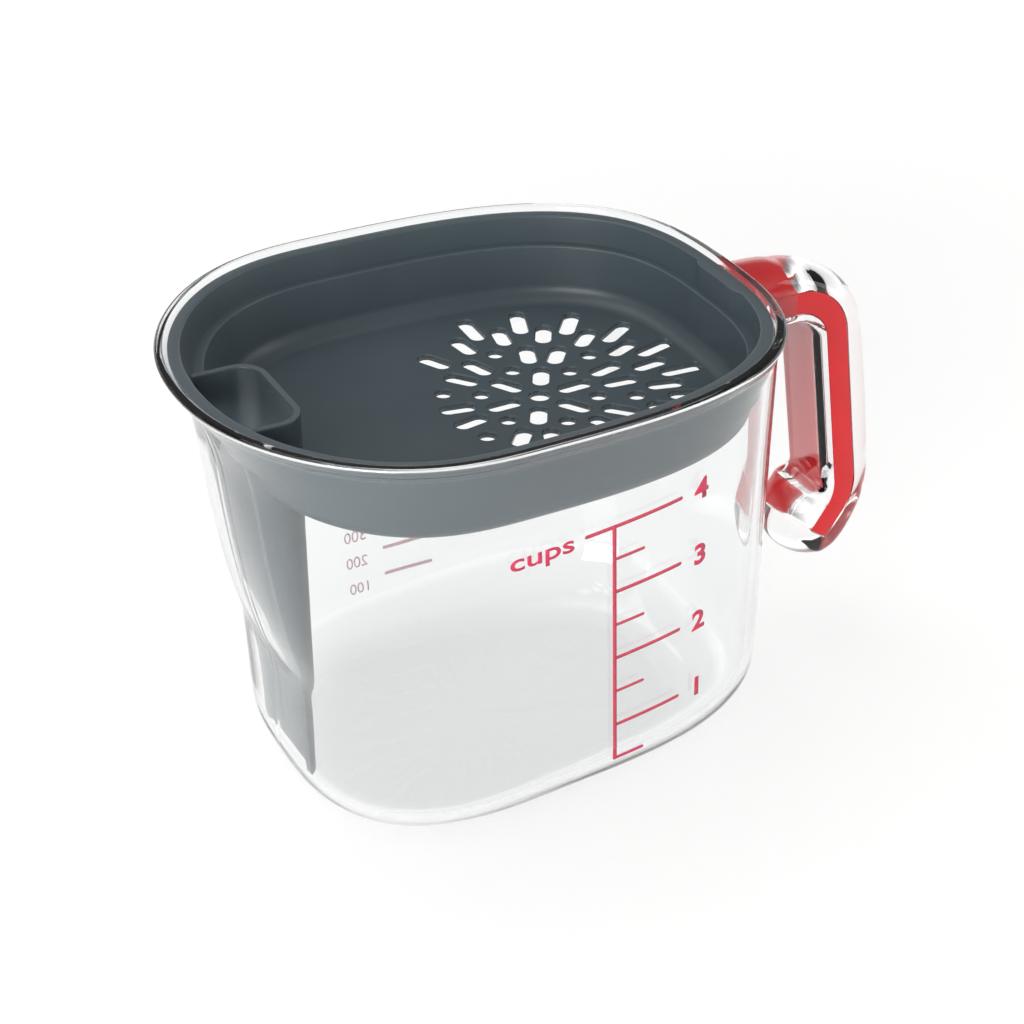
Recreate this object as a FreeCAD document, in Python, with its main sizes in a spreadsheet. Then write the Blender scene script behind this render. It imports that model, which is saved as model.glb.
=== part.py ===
import FreeCAD, Part
import math
import os
import Sketcher
from FreeCAD import Vector

# Gravy fat separator: a clear jug with a hooked handle, and a strainer tray
# with a pour channel that lifts out of it.
#
# Frame: +Z up, +X towards the handle, spout on -X, symmetric about the XZ plane
# apart from the printed scales. The origin is the centre of the flat base.
# All sizes are in millimetres.

doc = FreeCAD.newDocument("GravyFatSeparator")
sheet = doc.addObject("Spreadsheet::Sheet", "Dimensions")

DIMENSIONS = [
    ("Jug wall, in plan a superellipse that differs towards the handle and the nose", None, None),
    ("jugHeight", 120.0, "base to rim"),
    ("jugWall", 2.6, "side wall"),
    ("jugFloor", 3.0, "floor"),
    ("footBack", 68.9, "reach of the foot towards the handle"),
    ("footNose", 62.8, "reach of the foot towards the spout"),
    ("footHalfWidth", 50.0, "half width of the foot"),
    ("footWaistX", -8.5, "x where the foot is widest"),
    ("footBackPower", 3.25, "squareness of the foot, handle half"),
    ("footNosePower", 2.8, "squareness of the foot, nose half"),
    ("rimBack", 68.4, "reach of the rim towards the handle"),
    ("rimNose", 65.0, "reach of the rim towards the spout, without the spout"),
    ("rimHalfWidth", 62.2, "half width of the rim"),
    ("rimWaistX", -16.7, "x where the rim is widest"),
    ("rimBackPower", 2.85, "squareness of the rim, handle half"),
    ("rimNosePower", 2.85, "squareness of the rim, nose half"),
    ("footRoundNose", 10.5, "round between wall and base at the nose"),
    ("footRoundBack", 21.0, "round between wall and base at the handle"),
    ("Spout, a bulge of the nose wall that grows upwards", None, None),
    ("spoutStart", 39.8, "height where the bulge begins"),
    ("spoutBlend", 0.05, "softness of that beginning, as a share of the bulge's height"),
    ("spoutEase", 0.5, "evenness of the bulge's growth: small swells early"),
    ("spoutReach", 11.1, "bulge at the rim"),
    ("spoutCurlStart", 95.0, "height where the lip curls further out"),
    ("spoutCurl", 6.2, "extra reach of the curl at the rim"),
    ("spoutHalfWidth", 76.0, "half width of the bulge at the rim"),
    ("spoutHalfWidthLow", 57.0, "half width of the bulge where it begins"),
    ("spoutRidge", 1.5, "sharpness of the bulge's middle"),
    ("Lip bead and the rebate that the tray sits in", None, None),
    ("lipBead", 1.8, "how far the bead stands out"),
    ("lipHeight", 6.0, "height of the bead"),
    ("lipShoulder", 0.9, "wall left outside the rebate"),
    ("Strainer tray", None, None),
    ("ringDrop", 1.2, "rim to the top of the tray's ring"),
    ("ringThick", 1.6, "thickness of the ring"),
    ("ringGap", 0.3, "ring edge to lip"),
    ("ringWidth", 3.2, "width of the ring"),
    ("trayGap", 0.6, "tray or channel to the inside of the jug"),
    ("bandDrop", 14.3, "rim to the lower edge of the tray's outer band"),
    ("ledgeDrop", 8.7, "rim to the ledge inside the tray"),
    ("ledgeWidth", 2.6, "width of the ledge"),
    ("trayWall", 1.8, "tray floor and lower wall"),
    ("trayDepth", 26.1, "rim to the lowest point of the tray floor"),
    ("trayDish", 1.8, "depth of the dished middle of the floor"),
    ("dishRadius", 43.5, "radius of the dished middle in plan"),
    ("dishX", -4.0, "centre of the dished middle"),
    ("trayCorner", 4.5, "round between tray wall and floor"),
    ("padHalfWidth", 9.4, "half width of the thick panel at the handle"),
    ("padY", -4.7, "middle of that panel, a little to the near side"),
    ("padThick", 1.5, "how far that panel stands in"),
    ("Sieve in the tray floor, rows of holes about one centre", None, None),
    ("sieveX", 14.0, "centre of the sieve"),
    ("sieveHole", 5.3, "diameter of the middle hole"),
    ("sieveDot", 4.25, "diameter of the round holes between slots"),
    ("slotLength", 9.3, "slot length, end to end"),
    ("outerSlotLength", 11.4, "the same in the last row"),
    ("slotWidth", 4.3, "slot width"),
    ("rowRadiusA", 10.2, "radius of the first row of slots"),
    ("rowRadiusB", 15.0, "radius of the first row of dots"),
    ("rowRadiusC", 21.9, "radius of the second row of slots"),
    ("rowRadiusD", 24.8, "radius of the second row of dots"),
    ("rowRadiusE", 32.6, "radius of the third row of slots"),
    ("rowRadiusF", 38.8, "radius of the last row of slots"),
    ("Pour channel", None, None),
    ("channelHalfWidth", 16.8, "half width over its walls"),
    ("channelFaceX", -56.1, "outer face towards the middle of the jug"),
    ("channelWall", 1.8, "wall"),
    ("channelCorner", 7.5, "outer corner radius"),
    ("channelDrop", 5.9, "rim to the top edge"),
    ("channelFoot", 6.0, "floor of the jug to the lower edge"),
    ("Handle, a clear hook over a red core", None, None),
    ("handleWidth", 20.0, "width of grip and core"),
    ("coreDepth", 6.5, "depth of the core"),
    ("gripInner", 3.2, "clear layer towards the jug"),
    ("gripCrown", 9.2, "clear crown outside the core"),
    ("gripEdge", 2.5, "round of the inner edges"),
    ("handleStartX", 55.0, "where the hook's line starts, inside the wall"),
    ("handleTopZ", 107.5, "height of the top run's centre line"),
    ("handleTurnX", 97.4, "x where top run and grip would cross"),
    ("handleTopRadius", 13.0, "bend at the top"),
    ("handleLean", 8.0, "lean of the grip from upright, degrees"),
    ("handleLowZ", 43.8, "height where grip and foot would cross"),
    ("handleLowRadius", 14.0, "bend at the foot"),
    ("handleHook", 36.0, "lean of the foot back towards the jug, degrees"),
    ("coreTipZ", 32.5, "height of the core's tip"),
    ("bulbRadius", 12.4, "round end of the grip about the core's tip"),
    ("bulbX", 99.4, "centre of the round end"),
    ("bulbZ", 35.4, "centre of the round end"),
    ("bulbWidth", 25.0, "width of the round end before its sides are cut flat"),
    ("Printed scales", None, None),
    ("inkThick", 0.2, "thickness of the print"),
    ("inkLine", 1.1, "width of a printed line"),
    ("cupFootX", 8.8, "x where the long line starts, at the first half cup"),
    ("cupFootZ", 14.1, "height of the first half cup"),
    ("cupTilt", 5.0, "lean of the whole scale, degrees"),
    ("cupStep", 12.0, "first half cup to first cup, if the jug didn't widen"),
    ("cupShrink", 0.15, "marks draw together as the jug widens: falls as the square of the number"),
    ("cupCount", 4, "cups on the scale"),
    ("cupTick", 19.2, "length of a whole tick"),
    ("halfTick", 8.2, "length of a half tick"),
    ("cupTickBack", 7.5, "how far the top tick passes the line"),
    ("litrePitch", 8.4, "height of one hundred millilitres"),
    ("litreFirstZ", 17.5, "height of the first hundred"),
    ("litreCount", 9, "ticks on the millilitre scale"),
    ("litreTickX", -8.5, "near end of a millilitre tick"),
    ("litreTick", 14.5, "length of a millilitre tick"),
]

row = 1
for alias, value, note in DIMENSIONS:
    if value is None:
        sheet.set("A%d" % row, alias)
    else:
        sheet.set("A%d" % row, alias)
        sheet.set("B%d" % row, str(value))
        sheet.setAlias("B%d" % row, alias)
        sheet.set("C%d" % row, note)
    row += 1
doc.recompute()


def size(alias):
    """A driving dimension, as a plain number."""
    return float(sheet.get(alias))


def blend(low, high, share):
    return low + (high - low) * share


# ---------------------------------------------------------------- jug wall

SECTION_POINTS = 36
RIM = size("jugHeight")
WALL = size("jugWall")
FLOOR = size("jugFloor")


def spout_shift(y, z):
    """How far the spout moves the nose wall outwards."""
    start = size("spoutStart")
    rise = (z - start) / (RIM - start)
    swell = 0.5 * (rise + math.hypot(rise, size("spoutBlend")))
    half = blend(size("spoutHalfWidthLow"), size("spoutHalfWidth"), swell)
    if abs(y) >= half:
        return 0.0
    ease = size("spoutEase")
    reach = size("spoutReach") * swell * (1.0 + ease) / (swell + ease)
    curl_start = size("spoutCurlStart")
    if z > curl_start:
        reach += size("spoutCurl") * ((z - curl_start) / (RIM - curl_start)) ** 2
    return reach * math.cos(0.5 * math.pi * y / half) ** size("spoutRidge")


def foot_inset(turn, z, base_z, offset):
    """Inset of the round between wall and floor; it shrinks with an inner offset."""
    share = 0.5 + 0.5 * math.cos(turn)
    radius = blend(size("footRoundNose"), size("footRoundBack"), share) + offset
    height = z - base_z
    if height >= radius:
        return 0.0
    return radius - math.sqrt(max(radius ** 2 - (radius - height) ** 2, 0.0))


def wall_point(turn, z, offset, base_z=None):
    """Point of the wall's outline at height z, moved outwards by offset."""
    share = z / RIM
    waist = blend(size("footWaistX"), size("rimWaistX"), share)
    half = blend(size("footHalfWidth"), size("rimHalfWidth"), share)
    if math.cos(turn) > 0:
        reach = blend(size("footBack"), size("rimBack"), share) - waist
        power = blend(size("footBackPower"), size("rimBackPower"), share)
    else:
        reach = blend(size("footNose"), size("rimNose"), share) + waist
        power = blend(size("footNosePower"), size("rimNosePower"), share)
    if base_z is not None:
        offset = offset - foot_inset(turn, z, base_z, min(offset, 0.0))
    reach += offset
    half += offset
    ray = abs(math.cos(turn) / reach) ** power + abs(math.sin(turn) / half) ** power
    ray = ray ** (-1.0 / power)
    x = waist + ray * math.cos(turn)
    y = ray * math.sin(turn)
    if math.cos(turn) < 0:
        x -= spout_shift(y, z)
    return Vector(x, y, z)


def outline(z, offset, base_z=None, stretches=2):
    """Closed smooth wire of the wall's outline at height z, in equal stretches."""
    points = []
    for i in range(SECTION_POINTS):
        turn = 2.0 * math.pi * i / SECTION_POINTS
        points.append(wall_point(turn, z, offset, base_z))
    curve = Part.BSplineCurve()
    curve.interpolate(Points=points, PeriodicFlag=True)
    edge = curve.toShape()
    if stretches == 1:
        return Part.Wire([edge])
    first, last = edge.ParameterRange
    stops = [blend(first, last, i / stretches) for i in range(1, stretches)]
    return Part.Wire(edge.split(stops).Edges)


def loft(sections, base_z=None, stretches=2):
    """Solid through outlines, given as (height, offset) from the bottom up."""
    wires = [outline(z, offset, base_z, stretches) for z, offset in sections]
    return Part.makeLoft(wires, True, False)


def hull(offset, base_z, top_z):
    """The wall's envelope, moved by offset, from base_z up to top_z."""
    heights = [0.0, 0.4, 1.5, 4.0, 8.0, 12.5, 17.5, 23.0, 30.0, 38.0, 46.0, 56.0, 70.0, 84.0,
               95.0, 105.0]
    heights = [z for z in heights if z < top_z - 1.0 - base_z]
    return loft([(base_z + z, offset) for z in heights] + [(top_z, offset)], base_z, 1)


def feature(name, shape):
    """A document object that holds a shape made with Part's functions."""
    made = doc.addObject("Part::Feature", name)
    made.Shape = shape
    return made


def cut(name, base, tool):
    made = doc.addObject("Part::Cut", name)
    made.Base = base
    made.Tool = tool
    return made


def common(name, base, tool):
    made = doc.addObject("Part::Common", name)
    made.Base = base
    made.Tool = tool
    return made


def fuse(name, shapes):
    made = doc.addObject("Part::MultiFuse", name)
    made.Shapes = shapes
    return made


# Lip bead: share of its height, share of its reach. It swells smoothly from
# the wall, is widest near the top and rounds over to the rim.
LIP_PROFILE = [(0.0, 0.0), (0.25, 0.2), (0.5, 0.66), (0.75, 1.0), (0.92, 0.88), (1.0, 0.45)]
OVER = 1.0

lip_low = RIM - size("lipHeight")
lip_sections = []
for up, out in LIP_PROFILE:
    lip_sections.append((lip_low + up * size("lipHeight"), out * size("lipBead")))
ring_top = RIM - size("ringDrop")
seat_z = ring_top - size("ringThick")

jug_outside = fuse("JugOutside", [
    feature("JugWallOutside", hull(0.0, 0.0, lip_low)),
    feature("LipOutside", loft(lip_sections)),
])
rebate_sections = [(seat_z, -size("lipShoulder")), (RIM + OVER, -size("lipShoulder"))]
jug_inside = feature("JugInside", hull(-WALL, FLOOR, RIM + OVER))
rebate = feature("Rebate", loft(rebate_sections))
jug_body = cut("jug_body", cut("JugCup", jug_outside, jug_inside), rebate)
doc.recompute()

# ------------------------------------------------------------- strainer tray

TRAY_WALL = size("trayWall")
ring_edge = size("lipShoulder") + size("ringGap")
tray_edge = WALL + size("trayGap")
bowl_edge = ring_edge + size("ringWidth")
ledge_edge = bowl_edge + size("ledgeWidth")
band_low = RIM - size("bandDrop")
ledge_z = RIM - size("ledgeDrop")
dish_z = RIM - size("trayDepth")
CORNER_STEPS = 3


def dish_cap(skin):
    """Part of a ball that hangs below the floor's edge; skin makes the ball larger."""
    deep = size("trayDish")
    ball = (size("dishRadius") ** 2 + deep ** 2) / (2.0 * deep)
    centre = Vector(size("dishX"), 0.0, dish_z + ball)
    latitude = math.degrees(math.asin((ball + skin - deep) / (ball + skin)))
    return Part.makeSphere(ball + skin, centre, Vector(0.0, 0.0, 1.0), -90.0, -latitude, 360.0)


def bowl(skin, top_z):
    """Lower wall, rounded corner and dished floor; skin thickens it outwards."""
    radius = size("trayCorner")
    edge_z = dish_z + size("trayDish")
    corner = ledge_edge + radius
    sections = []
    for i in range(CORNER_STEPS + 1):
        turn = 0.5 * math.pi * (1.0 - i / CORNER_STEPS)
        reach = radius + skin
        sections.append((edge_z + radius - reach * math.sin(turn),
                         -corner + reach * math.cos(turn)))
    sections.append((top_z, -ledge_edge + skin))
    return loft(sections).fuse(dish_cap(skin))


tray_outside = fuse("TrayOutside", [
    feature("TrayRing", loft([(seat_z, -ring_edge), (ring_top, -ring_edge)])),
    feature("TrayBand", loft([(band_low, -tray_edge), (seat_z, -tray_edge)])),
    feature("TrayBowl", bowl(TRAY_WALL, band_low)),
])
band_inside = loft([(ledge_z, -bowl_edge), (ring_top + OVER, -bowl_edge)])
pad_edge = bowl_edge + size("padThick")
pad_inside = loft([(ledge_z, -pad_edge), (ring_top + OVER, -pad_edge)])
pad_block = Part.makeBox(
    size("rimBack") + OVER,
    2.0 * size("padHalfWidth"),
    RIM,
    Vector(0.0, size("padY") - size("padHalfWidth"), 0.0),
)
tray_inside = fuse("TrayInside", [
    feature("BandInside", band_inside.cut(pad_block)),
    feature("PadInside", pad_inside),
    feature("BowlInside", bowl(0.0, ledge_z + 0.5 * OVER)),
])
tray_shell = cut("TrayShell", tray_outside, tray_inside)
doc.recompute()


def sieve_dot(radius, degrees, diameter):
    """Round hole through the tray floor."""
    turn = math.radians(degrees)
    centre = Vector(size("sieveX") + radius * math.cos(turn), radius * math.sin(turn), FLOOR)
    return Part.makeCylinder(0.5 * diameter, ledge_z - FLOOR, centre)


def sieve_slot(radius, degrees, length="slotLength"):
    """Slot with round ends that points away from the sieve's centre."""
    half = 0.5 * (size(length) - size("slotWidth"))
    side = 0.5 * size("slotWidth")
    low = Vector(radius - half, -side, 0.0)
    high = Vector(radius + half, side, 0.0)
    outer_end = Part.Arc(
        Vector(high.x, low.y, 0.0), Vector(high.x + side, 0.0, 0.0), Vector(high.x, high.y, 0.0))
    inner_end = Part.Arc(
        Vector(low.x, high.y, 0.0), Vector(low.x - side, 0.0, 0.0), Vector(low.x, low.y, 0.0))
    edges = [
        Part.LineSegment(Vector(low.x, low.y, 0.0), Vector(high.x, low.y, 0.0)).toShape(),
        outer_end.toShape(),
        Part.LineSegment(Vector(high.x, high.y, 0.0), Vector(low.x, high.y, 0.0)).toShape(),
        inner_end.toShape(),
    ]
    slot = Part.Face(Part.Wire(edges)).extrude(Vector(0.0, 0.0, ledge_z - FLOOR))
    slot.rotate(Vector(), Vector(0.0, 0.0, 1.0), degrees)
    slot.translate(Vector(size("sieveX"), 0.0, FLOOR))
    return slot


sieve_holes = [sieve_dot(0.0, 0.0, size("sieveHole"))]
for sixth in range(0, 360, 60):
    sieve_holes.append(sieve_slot(size("rowRadiusA"), sixth))
    sieve_holes.append(sieve_dot(size("rowRadiusB"), sixth + 30, size("sieveDot")))
    sieve_holes.append(sieve_slot(size("rowRadiusC"), sixth - 10))
    sieve_holes.append(sieve_slot(size("rowRadiusC"), sixth + 10))
    sieve_holes.append(sieve_dot(size("rowRadiusD"), sixth + 30, size("sieveDot")))
for degrees in range(-120, 121, 20):
    sieve_holes.append(sieve_slot(size("rowRadiusE"), degrees))
for degrees in range(-90, 91, 20):
    sieve_holes.append(sieve_slot(size("rowRadiusF"), degrees, "outerSlotLength"))
sieve = feature("Sieve", Part.makeCompound(sieve_holes))
tray_sieved = cut("TraySieved", tray_shell, sieve)


# -------------------------------------------------------- sketching helpers


def plane(body, role):
    """One of a body's own origin planes."""
    for item in body.Origin.OriginFeatures:
        if item.Role == role:
            return item
    raise ValueError(role)


def sketch_on(body, name, role):
    sketch = body.newObject("Sketcher::SketchObject", name)
    sketch.AttachmentSupport = (plane(body, role), [""])
    sketch.MapMode = "FlatFace"
    return sketch


def dimension(sketch, constraint, expression, name):
    """A sketch dimension that follows the sheet."""
    index = sketch.addConstraint(constraint)
    sketch.renameConstraint(index, name)
    sketch.setExpression("Constraints." + name, expression)
    return index


# ------------------------------------------------------------- pour channel


def tongue(sketch, half_width, face_x, corner):
    """Outline that runs from beyond the nose to a flat face with round corners."""
    half = size("channelHalfWidth")
    face = size("channelFaceX")
    turn = size("channelCorner")
    back = face - half
    up = Vector(0.0, 0.0, 1.0)
    round_low = Part.Circle(Vector(face - turn, turn - half, 0.0), up, turn)
    round_high = Part.Circle(Vector(face - turn, half - turn, 0.0), up, turn)
    sketch.addGeometry([
        Part.LineSegment(Vector(back, -half, 0.0), Vector(face - turn, -half, 0.0)),
        Part.ArcOfCircle(round_low, -0.5 * math.pi, 0.0),
        Part.LineSegment(Vector(face, turn - half, 0.0), Vector(face, half - turn, 0.0)),
        Part.ArcOfCircle(round_high, 0.0, 0.5 * math.pi),
        Part.LineSegment(Vector(face - turn, half, 0.0), Vector(back, half, 0.0)),
        Part.LineSegment(Vector(back, half, 0.0), Vector(back, -half, 0.0)),
    ], False)
    for first in range(4):
        sketch.addConstraint(Sketcher.Constraint("Tangent", first, 2, first + 1, 1))
    sketch.addConstraint(Sketcher.Constraint("Coincident", 4, 2, 5, 1))
    sketch.addConstraint(Sketcher.Constraint("Coincident", 5, 2, 0, 1))
    sketch.addConstraint(Sketcher.Constraint("Horizontal", 0))
    sketch.addConstraint(Sketcher.Constraint("Vertical", 2))
    sketch.addConstraint(Sketcher.Constraint("Horizontal", 4))
    sketch.addConstraint(Sketcher.Constraint("Equal", 1, 3))
    sketch.addConstraint(Sketcher.Constraint("Symmetric", 0, 1, 4, 2, -1))
    dimension(sketch, Sketcher.Constraint("DistanceY", 0, 1, -1, 1, half), half_width, "halfWidth")
    dimension(sketch, Sketcher.Constraint("DistanceX", -1, 1, 2, 1, face), face_x, "face")
    dimension(sketch, Sketcher.Constraint("DistanceX", 0, 1, -1, 1, -back), NOSE_REACH, "back")
    dimension(sketch, Sketcher.Constraint("Radius", 1, turn), corner, "corner")


def pad_from(body, sketch, low, high):
    """Pads a flat sketch between two heights, both given as expressions."""
    sketch.setExpression("AttachmentOffset.Base.z", low)
    pad = body.newObject("PartDesign::Pad", body.Name + "Pad")
    pad.Profile = sketch
    pad.setExpression("Length", "(%s) - (%s)" % (high, low))
    return pad


NOSE_REACH = "Dimensions.rimNose + Dimensions.spoutReach + Dimensions.spoutCurl + 5"
CHANNEL_LOW = "Dimensions.jugFloor + Dimensions.channelFoot"
CHANNEL_HIGH = "Dimensions.jugHeight - Dimensions.channelDrop"

channel_space = doc.addObject("PartDesign::Body", "ChannelSpace")
space_sketch = sketch_on(channel_space, "SpaceOutline", "XY_Plane")
tongue(space_sketch, "Dimensions.channelHalfWidth", "Dimensions.channelFaceX",
       "Dimensions.channelCorner")
pad_from(channel_space, space_sketch, CHANNEL_LOW, "Dimensions.jugHeight")

sleeve = doc.addObject("PartDesign::Body", "ChannelSleeve")
sleeve_sketch = sketch_on(sleeve, "SleeveOutline", "XY_Plane")
tongue(sleeve_sketch, "Dimensions.channelHalfWidth", "Dimensions.channelFaceX",
       "Dimensions.channelCorner")
pad_from(sleeve, sleeve_sketch, CHANNEL_LOW, CHANNEL_HIGH)
bore_sketch = sketch_on(sleeve, "SleeveBore", "XY_Plane")
tongue(bore_sketch, "Dimensions.channelHalfWidth - Dimensions.channelWall",
       "Dimensions.channelFaceX - Dimensions.channelWall",
       "Dimensions.channelCorner - Dimensions.channelWall")
doc.recompute()
solid_sleeve = sleeve.Shape.Volume
sleeve_bore = sleeve.newObject("PartDesign::Pocket", "SleevePocket")
sleeve_bore.Profile = bore_sketch
sleeve_bore.Type = "ThroughAll"
sleeve_bore.Midplane = True
doc.recompute()
if sleeve.Shape.Volume > 0.5 * solid_sleeve:
    raise RuntimeError("the channel's bore cut nothing")

channel_bound = fuse("ChannelBound", [
    feature("SkirtBound", hull(-tray_edge, FLOOR, band_low)),
    feature("CollarBound", loft([(band_low, -bowl_edge), (RIM, -bowl_edge)])),
])
pour_channel = common("pour_channel", sleeve, channel_bound)
tray_low = dish_z - 2.0 * TRAY_WALL
bowl_reach = feature("BowlReach", loft([(tray_low, -bowl_edge), (RIM, -bowl_edge)]))
strainer_tray = cut("strainer_tray", tray_sieved, common("TrayCutout", channel_space, bowl_reach))
doc.recompute()

# ------------------------------------------------------------------- handle

LEAN = math.radians(size("handleLean"))
HOOK = math.radians(size("handleHook"))


def hook_path(body, name):
    """Centre line: top run, bend, leaning grip, bend, foot that turns back."""
    sketch = sketch_on(body, name, "XZ_Plane")
    top = Vector(size("handleTurnX"), size("handleTopZ"), 0.0)
    down = Vector(math.sin(LEAN), -math.cos(LEAN), 0.0)
    back = Vector(-math.sin(HOOK), -math.cos(HOOK), 0.0)
    low = top + down * ((size("handleTopZ") - size("handleLowZ")) / math.cos(LEAN))
    tip = low + back * ((size("handleLowZ") - size("coreTipZ")) / math.cos(HOOK))
    radius_top = size("handleTopRadius")
    radius_low = size("handleLowRadius")
    run_top = radius_top * math.tan(0.5 * (0.5 * math.pi - LEAN))
    run_low = radius_low * math.tan(0.5 * (LEAN + HOOK))
    enter_top = top - Vector(run_top, 0.0, 0.0)
    leave_top = top + down * run_top
    enter_low = low - down * run_low
    leave_low = low + back * run_low
    centre_top = enter_top - Vector(0.0, radius_top, 0.0)
    centre_low = enter_low - Vector(math.cos(LEAN), math.sin(LEAN), 0.0) * radius_low
    up = Vector(0.0, 0.0, 1.0)
    sketch.addGeometry([
        Part.LineSegment(Vector(size("handleStartX"), top.y, 0.0), enter_top),
        Part.ArcOfCircle(Part.Circle(centre_top, up, radius_top), LEAN, 0.5 * math.pi),
        Part.LineSegment(leave_top, enter_low),
        Part.ArcOfCircle(Part.Circle(centre_low, up, radius_low), -HOOK, LEAN),
        Part.LineSegment(leave_low, tip),
    ], False)
    corner_top = sketch.addGeometry(Part.Point(top), True)
    corner_low = sketch.addGeometry(Part.Point(low), True)
    sketch.addConstraint(Sketcher.Constraint("Tangent", 0, 2, 1, 2))
    sketch.addConstraint(Sketcher.Constraint("Tangent", 1, 1, 2, 1))
    sketch.addConstraint(Sketcher.Constraint("Tangent", 2, 2, 3, 2))
    sketch.addConstraint(Sketcher.Constraint("Tangent", 3, 1, 4, 1))
    sketch.addConstraint(Sketcher.Constraint("Horizontal", 0))
    sketch.addConstraint(Sketcher.Constraint("PointOnObject", corner_top, 1, 0))
    sketch.addConstraint(Sketcher.Constraint("PointOnObject", corner_top, 1, 2))
    sketch.addConstraint(Sketcher.Constraint("PointOnObject", corner_low, 1, 2))
    sketch.addConstraint(Sketcher.Constraint("PointOnObject", corner_low, 1, 4))
    dimension(sketch, Sketcher.Constraint("DistanceX", -1, 1, 0, 1, size("handleStartX")),
              "Dimensions.handleStartX", "startX")
    dimension(sketch, Sketcher.Constraint("DistanceY", -1, 1, 0, 1, top.y),
              "Dimensions.handleTopZ", "topZ")
    dimension(sketch, Sketcher.Constraint("DistanceX", -1, 1, corner_top, 1, top.x),
              "Dimensions.handleTurnX", "turnX")
    dimension(sketch, Sketcher.Constraint("DistanceY", -1, 1, corner_low, 1, low.y),
              "Dimensions.handleLowZ", "lowZ")
    dimension(sketch, Sketcher.Constraint("DistanceY", -1, 1, 4, 2, tip.y),
              "Dimensions.coreTipZ", "tipZ")
    dimension(sketch, Sketcher.Constraint("Radius", 1, radius_top),
              "Dimensions.handleTopRadius", "topRadius")
    dimension(sketch, Sketcher.Constraint("Radius", 3, radius_low),
              "Dimensions.handleLowRadius", "lowRadius")
    dimension(sketch, Sketcher.Constraint("Angle", 2, LEAN - 0.5 * math.pi),
              "Dimensions.handleLean * 1 deg - 90 deg", "lean")
    dimension(sketch, Sketcher.Constraint("Angle", 4, -0.5 * math.pi - HOOK),
              "-90 deg - Dimensions.handleHook * 1 deg", "hook")
    return sketch


def start_sketch(body, name):
    """Sketch across the start of the hook's line: its x is Y, its y is Z."""
    sketch = sketch_on(body, name, "YZ_Plane")
    sketch.setExpression("AttachmentOffset.Base.z", "Dimensions.handleStartX")
    return sketch


def swept(body, profile, path):
    pipe = body.newObject("PartDesign::AdditivePipe", body.Name + "Pipe")
    pipe.Profile = profile
    pipe.Spine = path


def core_profile(body):
    sketch = start_sketch(body, "CoreSection")
    half = 0.5 * size("handleWidth")
    low = size("handleTopZ") - 0.5 * size("coreDepth")
    high = size("handleTopZ") + 0.5 * size("coreDepth")
    corners = [(-half, low), (half, low), (half, high), (-half, high)]
    for i in range(4):
        begin = Vector(corners[i][0], corners[i][1], 0.0)
        end = Vector(corners[(i + 1) % 4][0], corners[(i + 1) % 4][1], 0.0)
        sketch.addGeometry(Part.LineSegment(begin, end), False)
    for i in range(4):
        sketch.addConstraint(Sketcher.Constraint("Coincident", i, 2, (i + 1) % 4, 1))
    sketch.addConstraint(Sketcher.Constraint("Horizontal", 2))
    for i in (1, 3):
        sketch.addConstraint(Sketcher.Constraint("Vertical", i))
    sketch.addConstraint(Sketcher.Constraint("Symmetric", 0, 1, 0, 2, -2))
    dimension(sketch, Sketcher.Constraint("DistanceX", 0, 1, 0, 2, 2.0 * half),
              "Dimensions.handleWidth", "width")
    dimension(sketch, Sketcher.Constraint("DistanceY", 1, 1, 1, 2, high - low),
              "Dimensions.coreDepth", "depth")
    dimension(sketch, Sketcher.Constraint("DistanceY", -1, 1, 0, 1, low),
              "Dimensions.handleTopZ - Dimensions.coreDepth / 2", "low")
    return sketch


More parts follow.
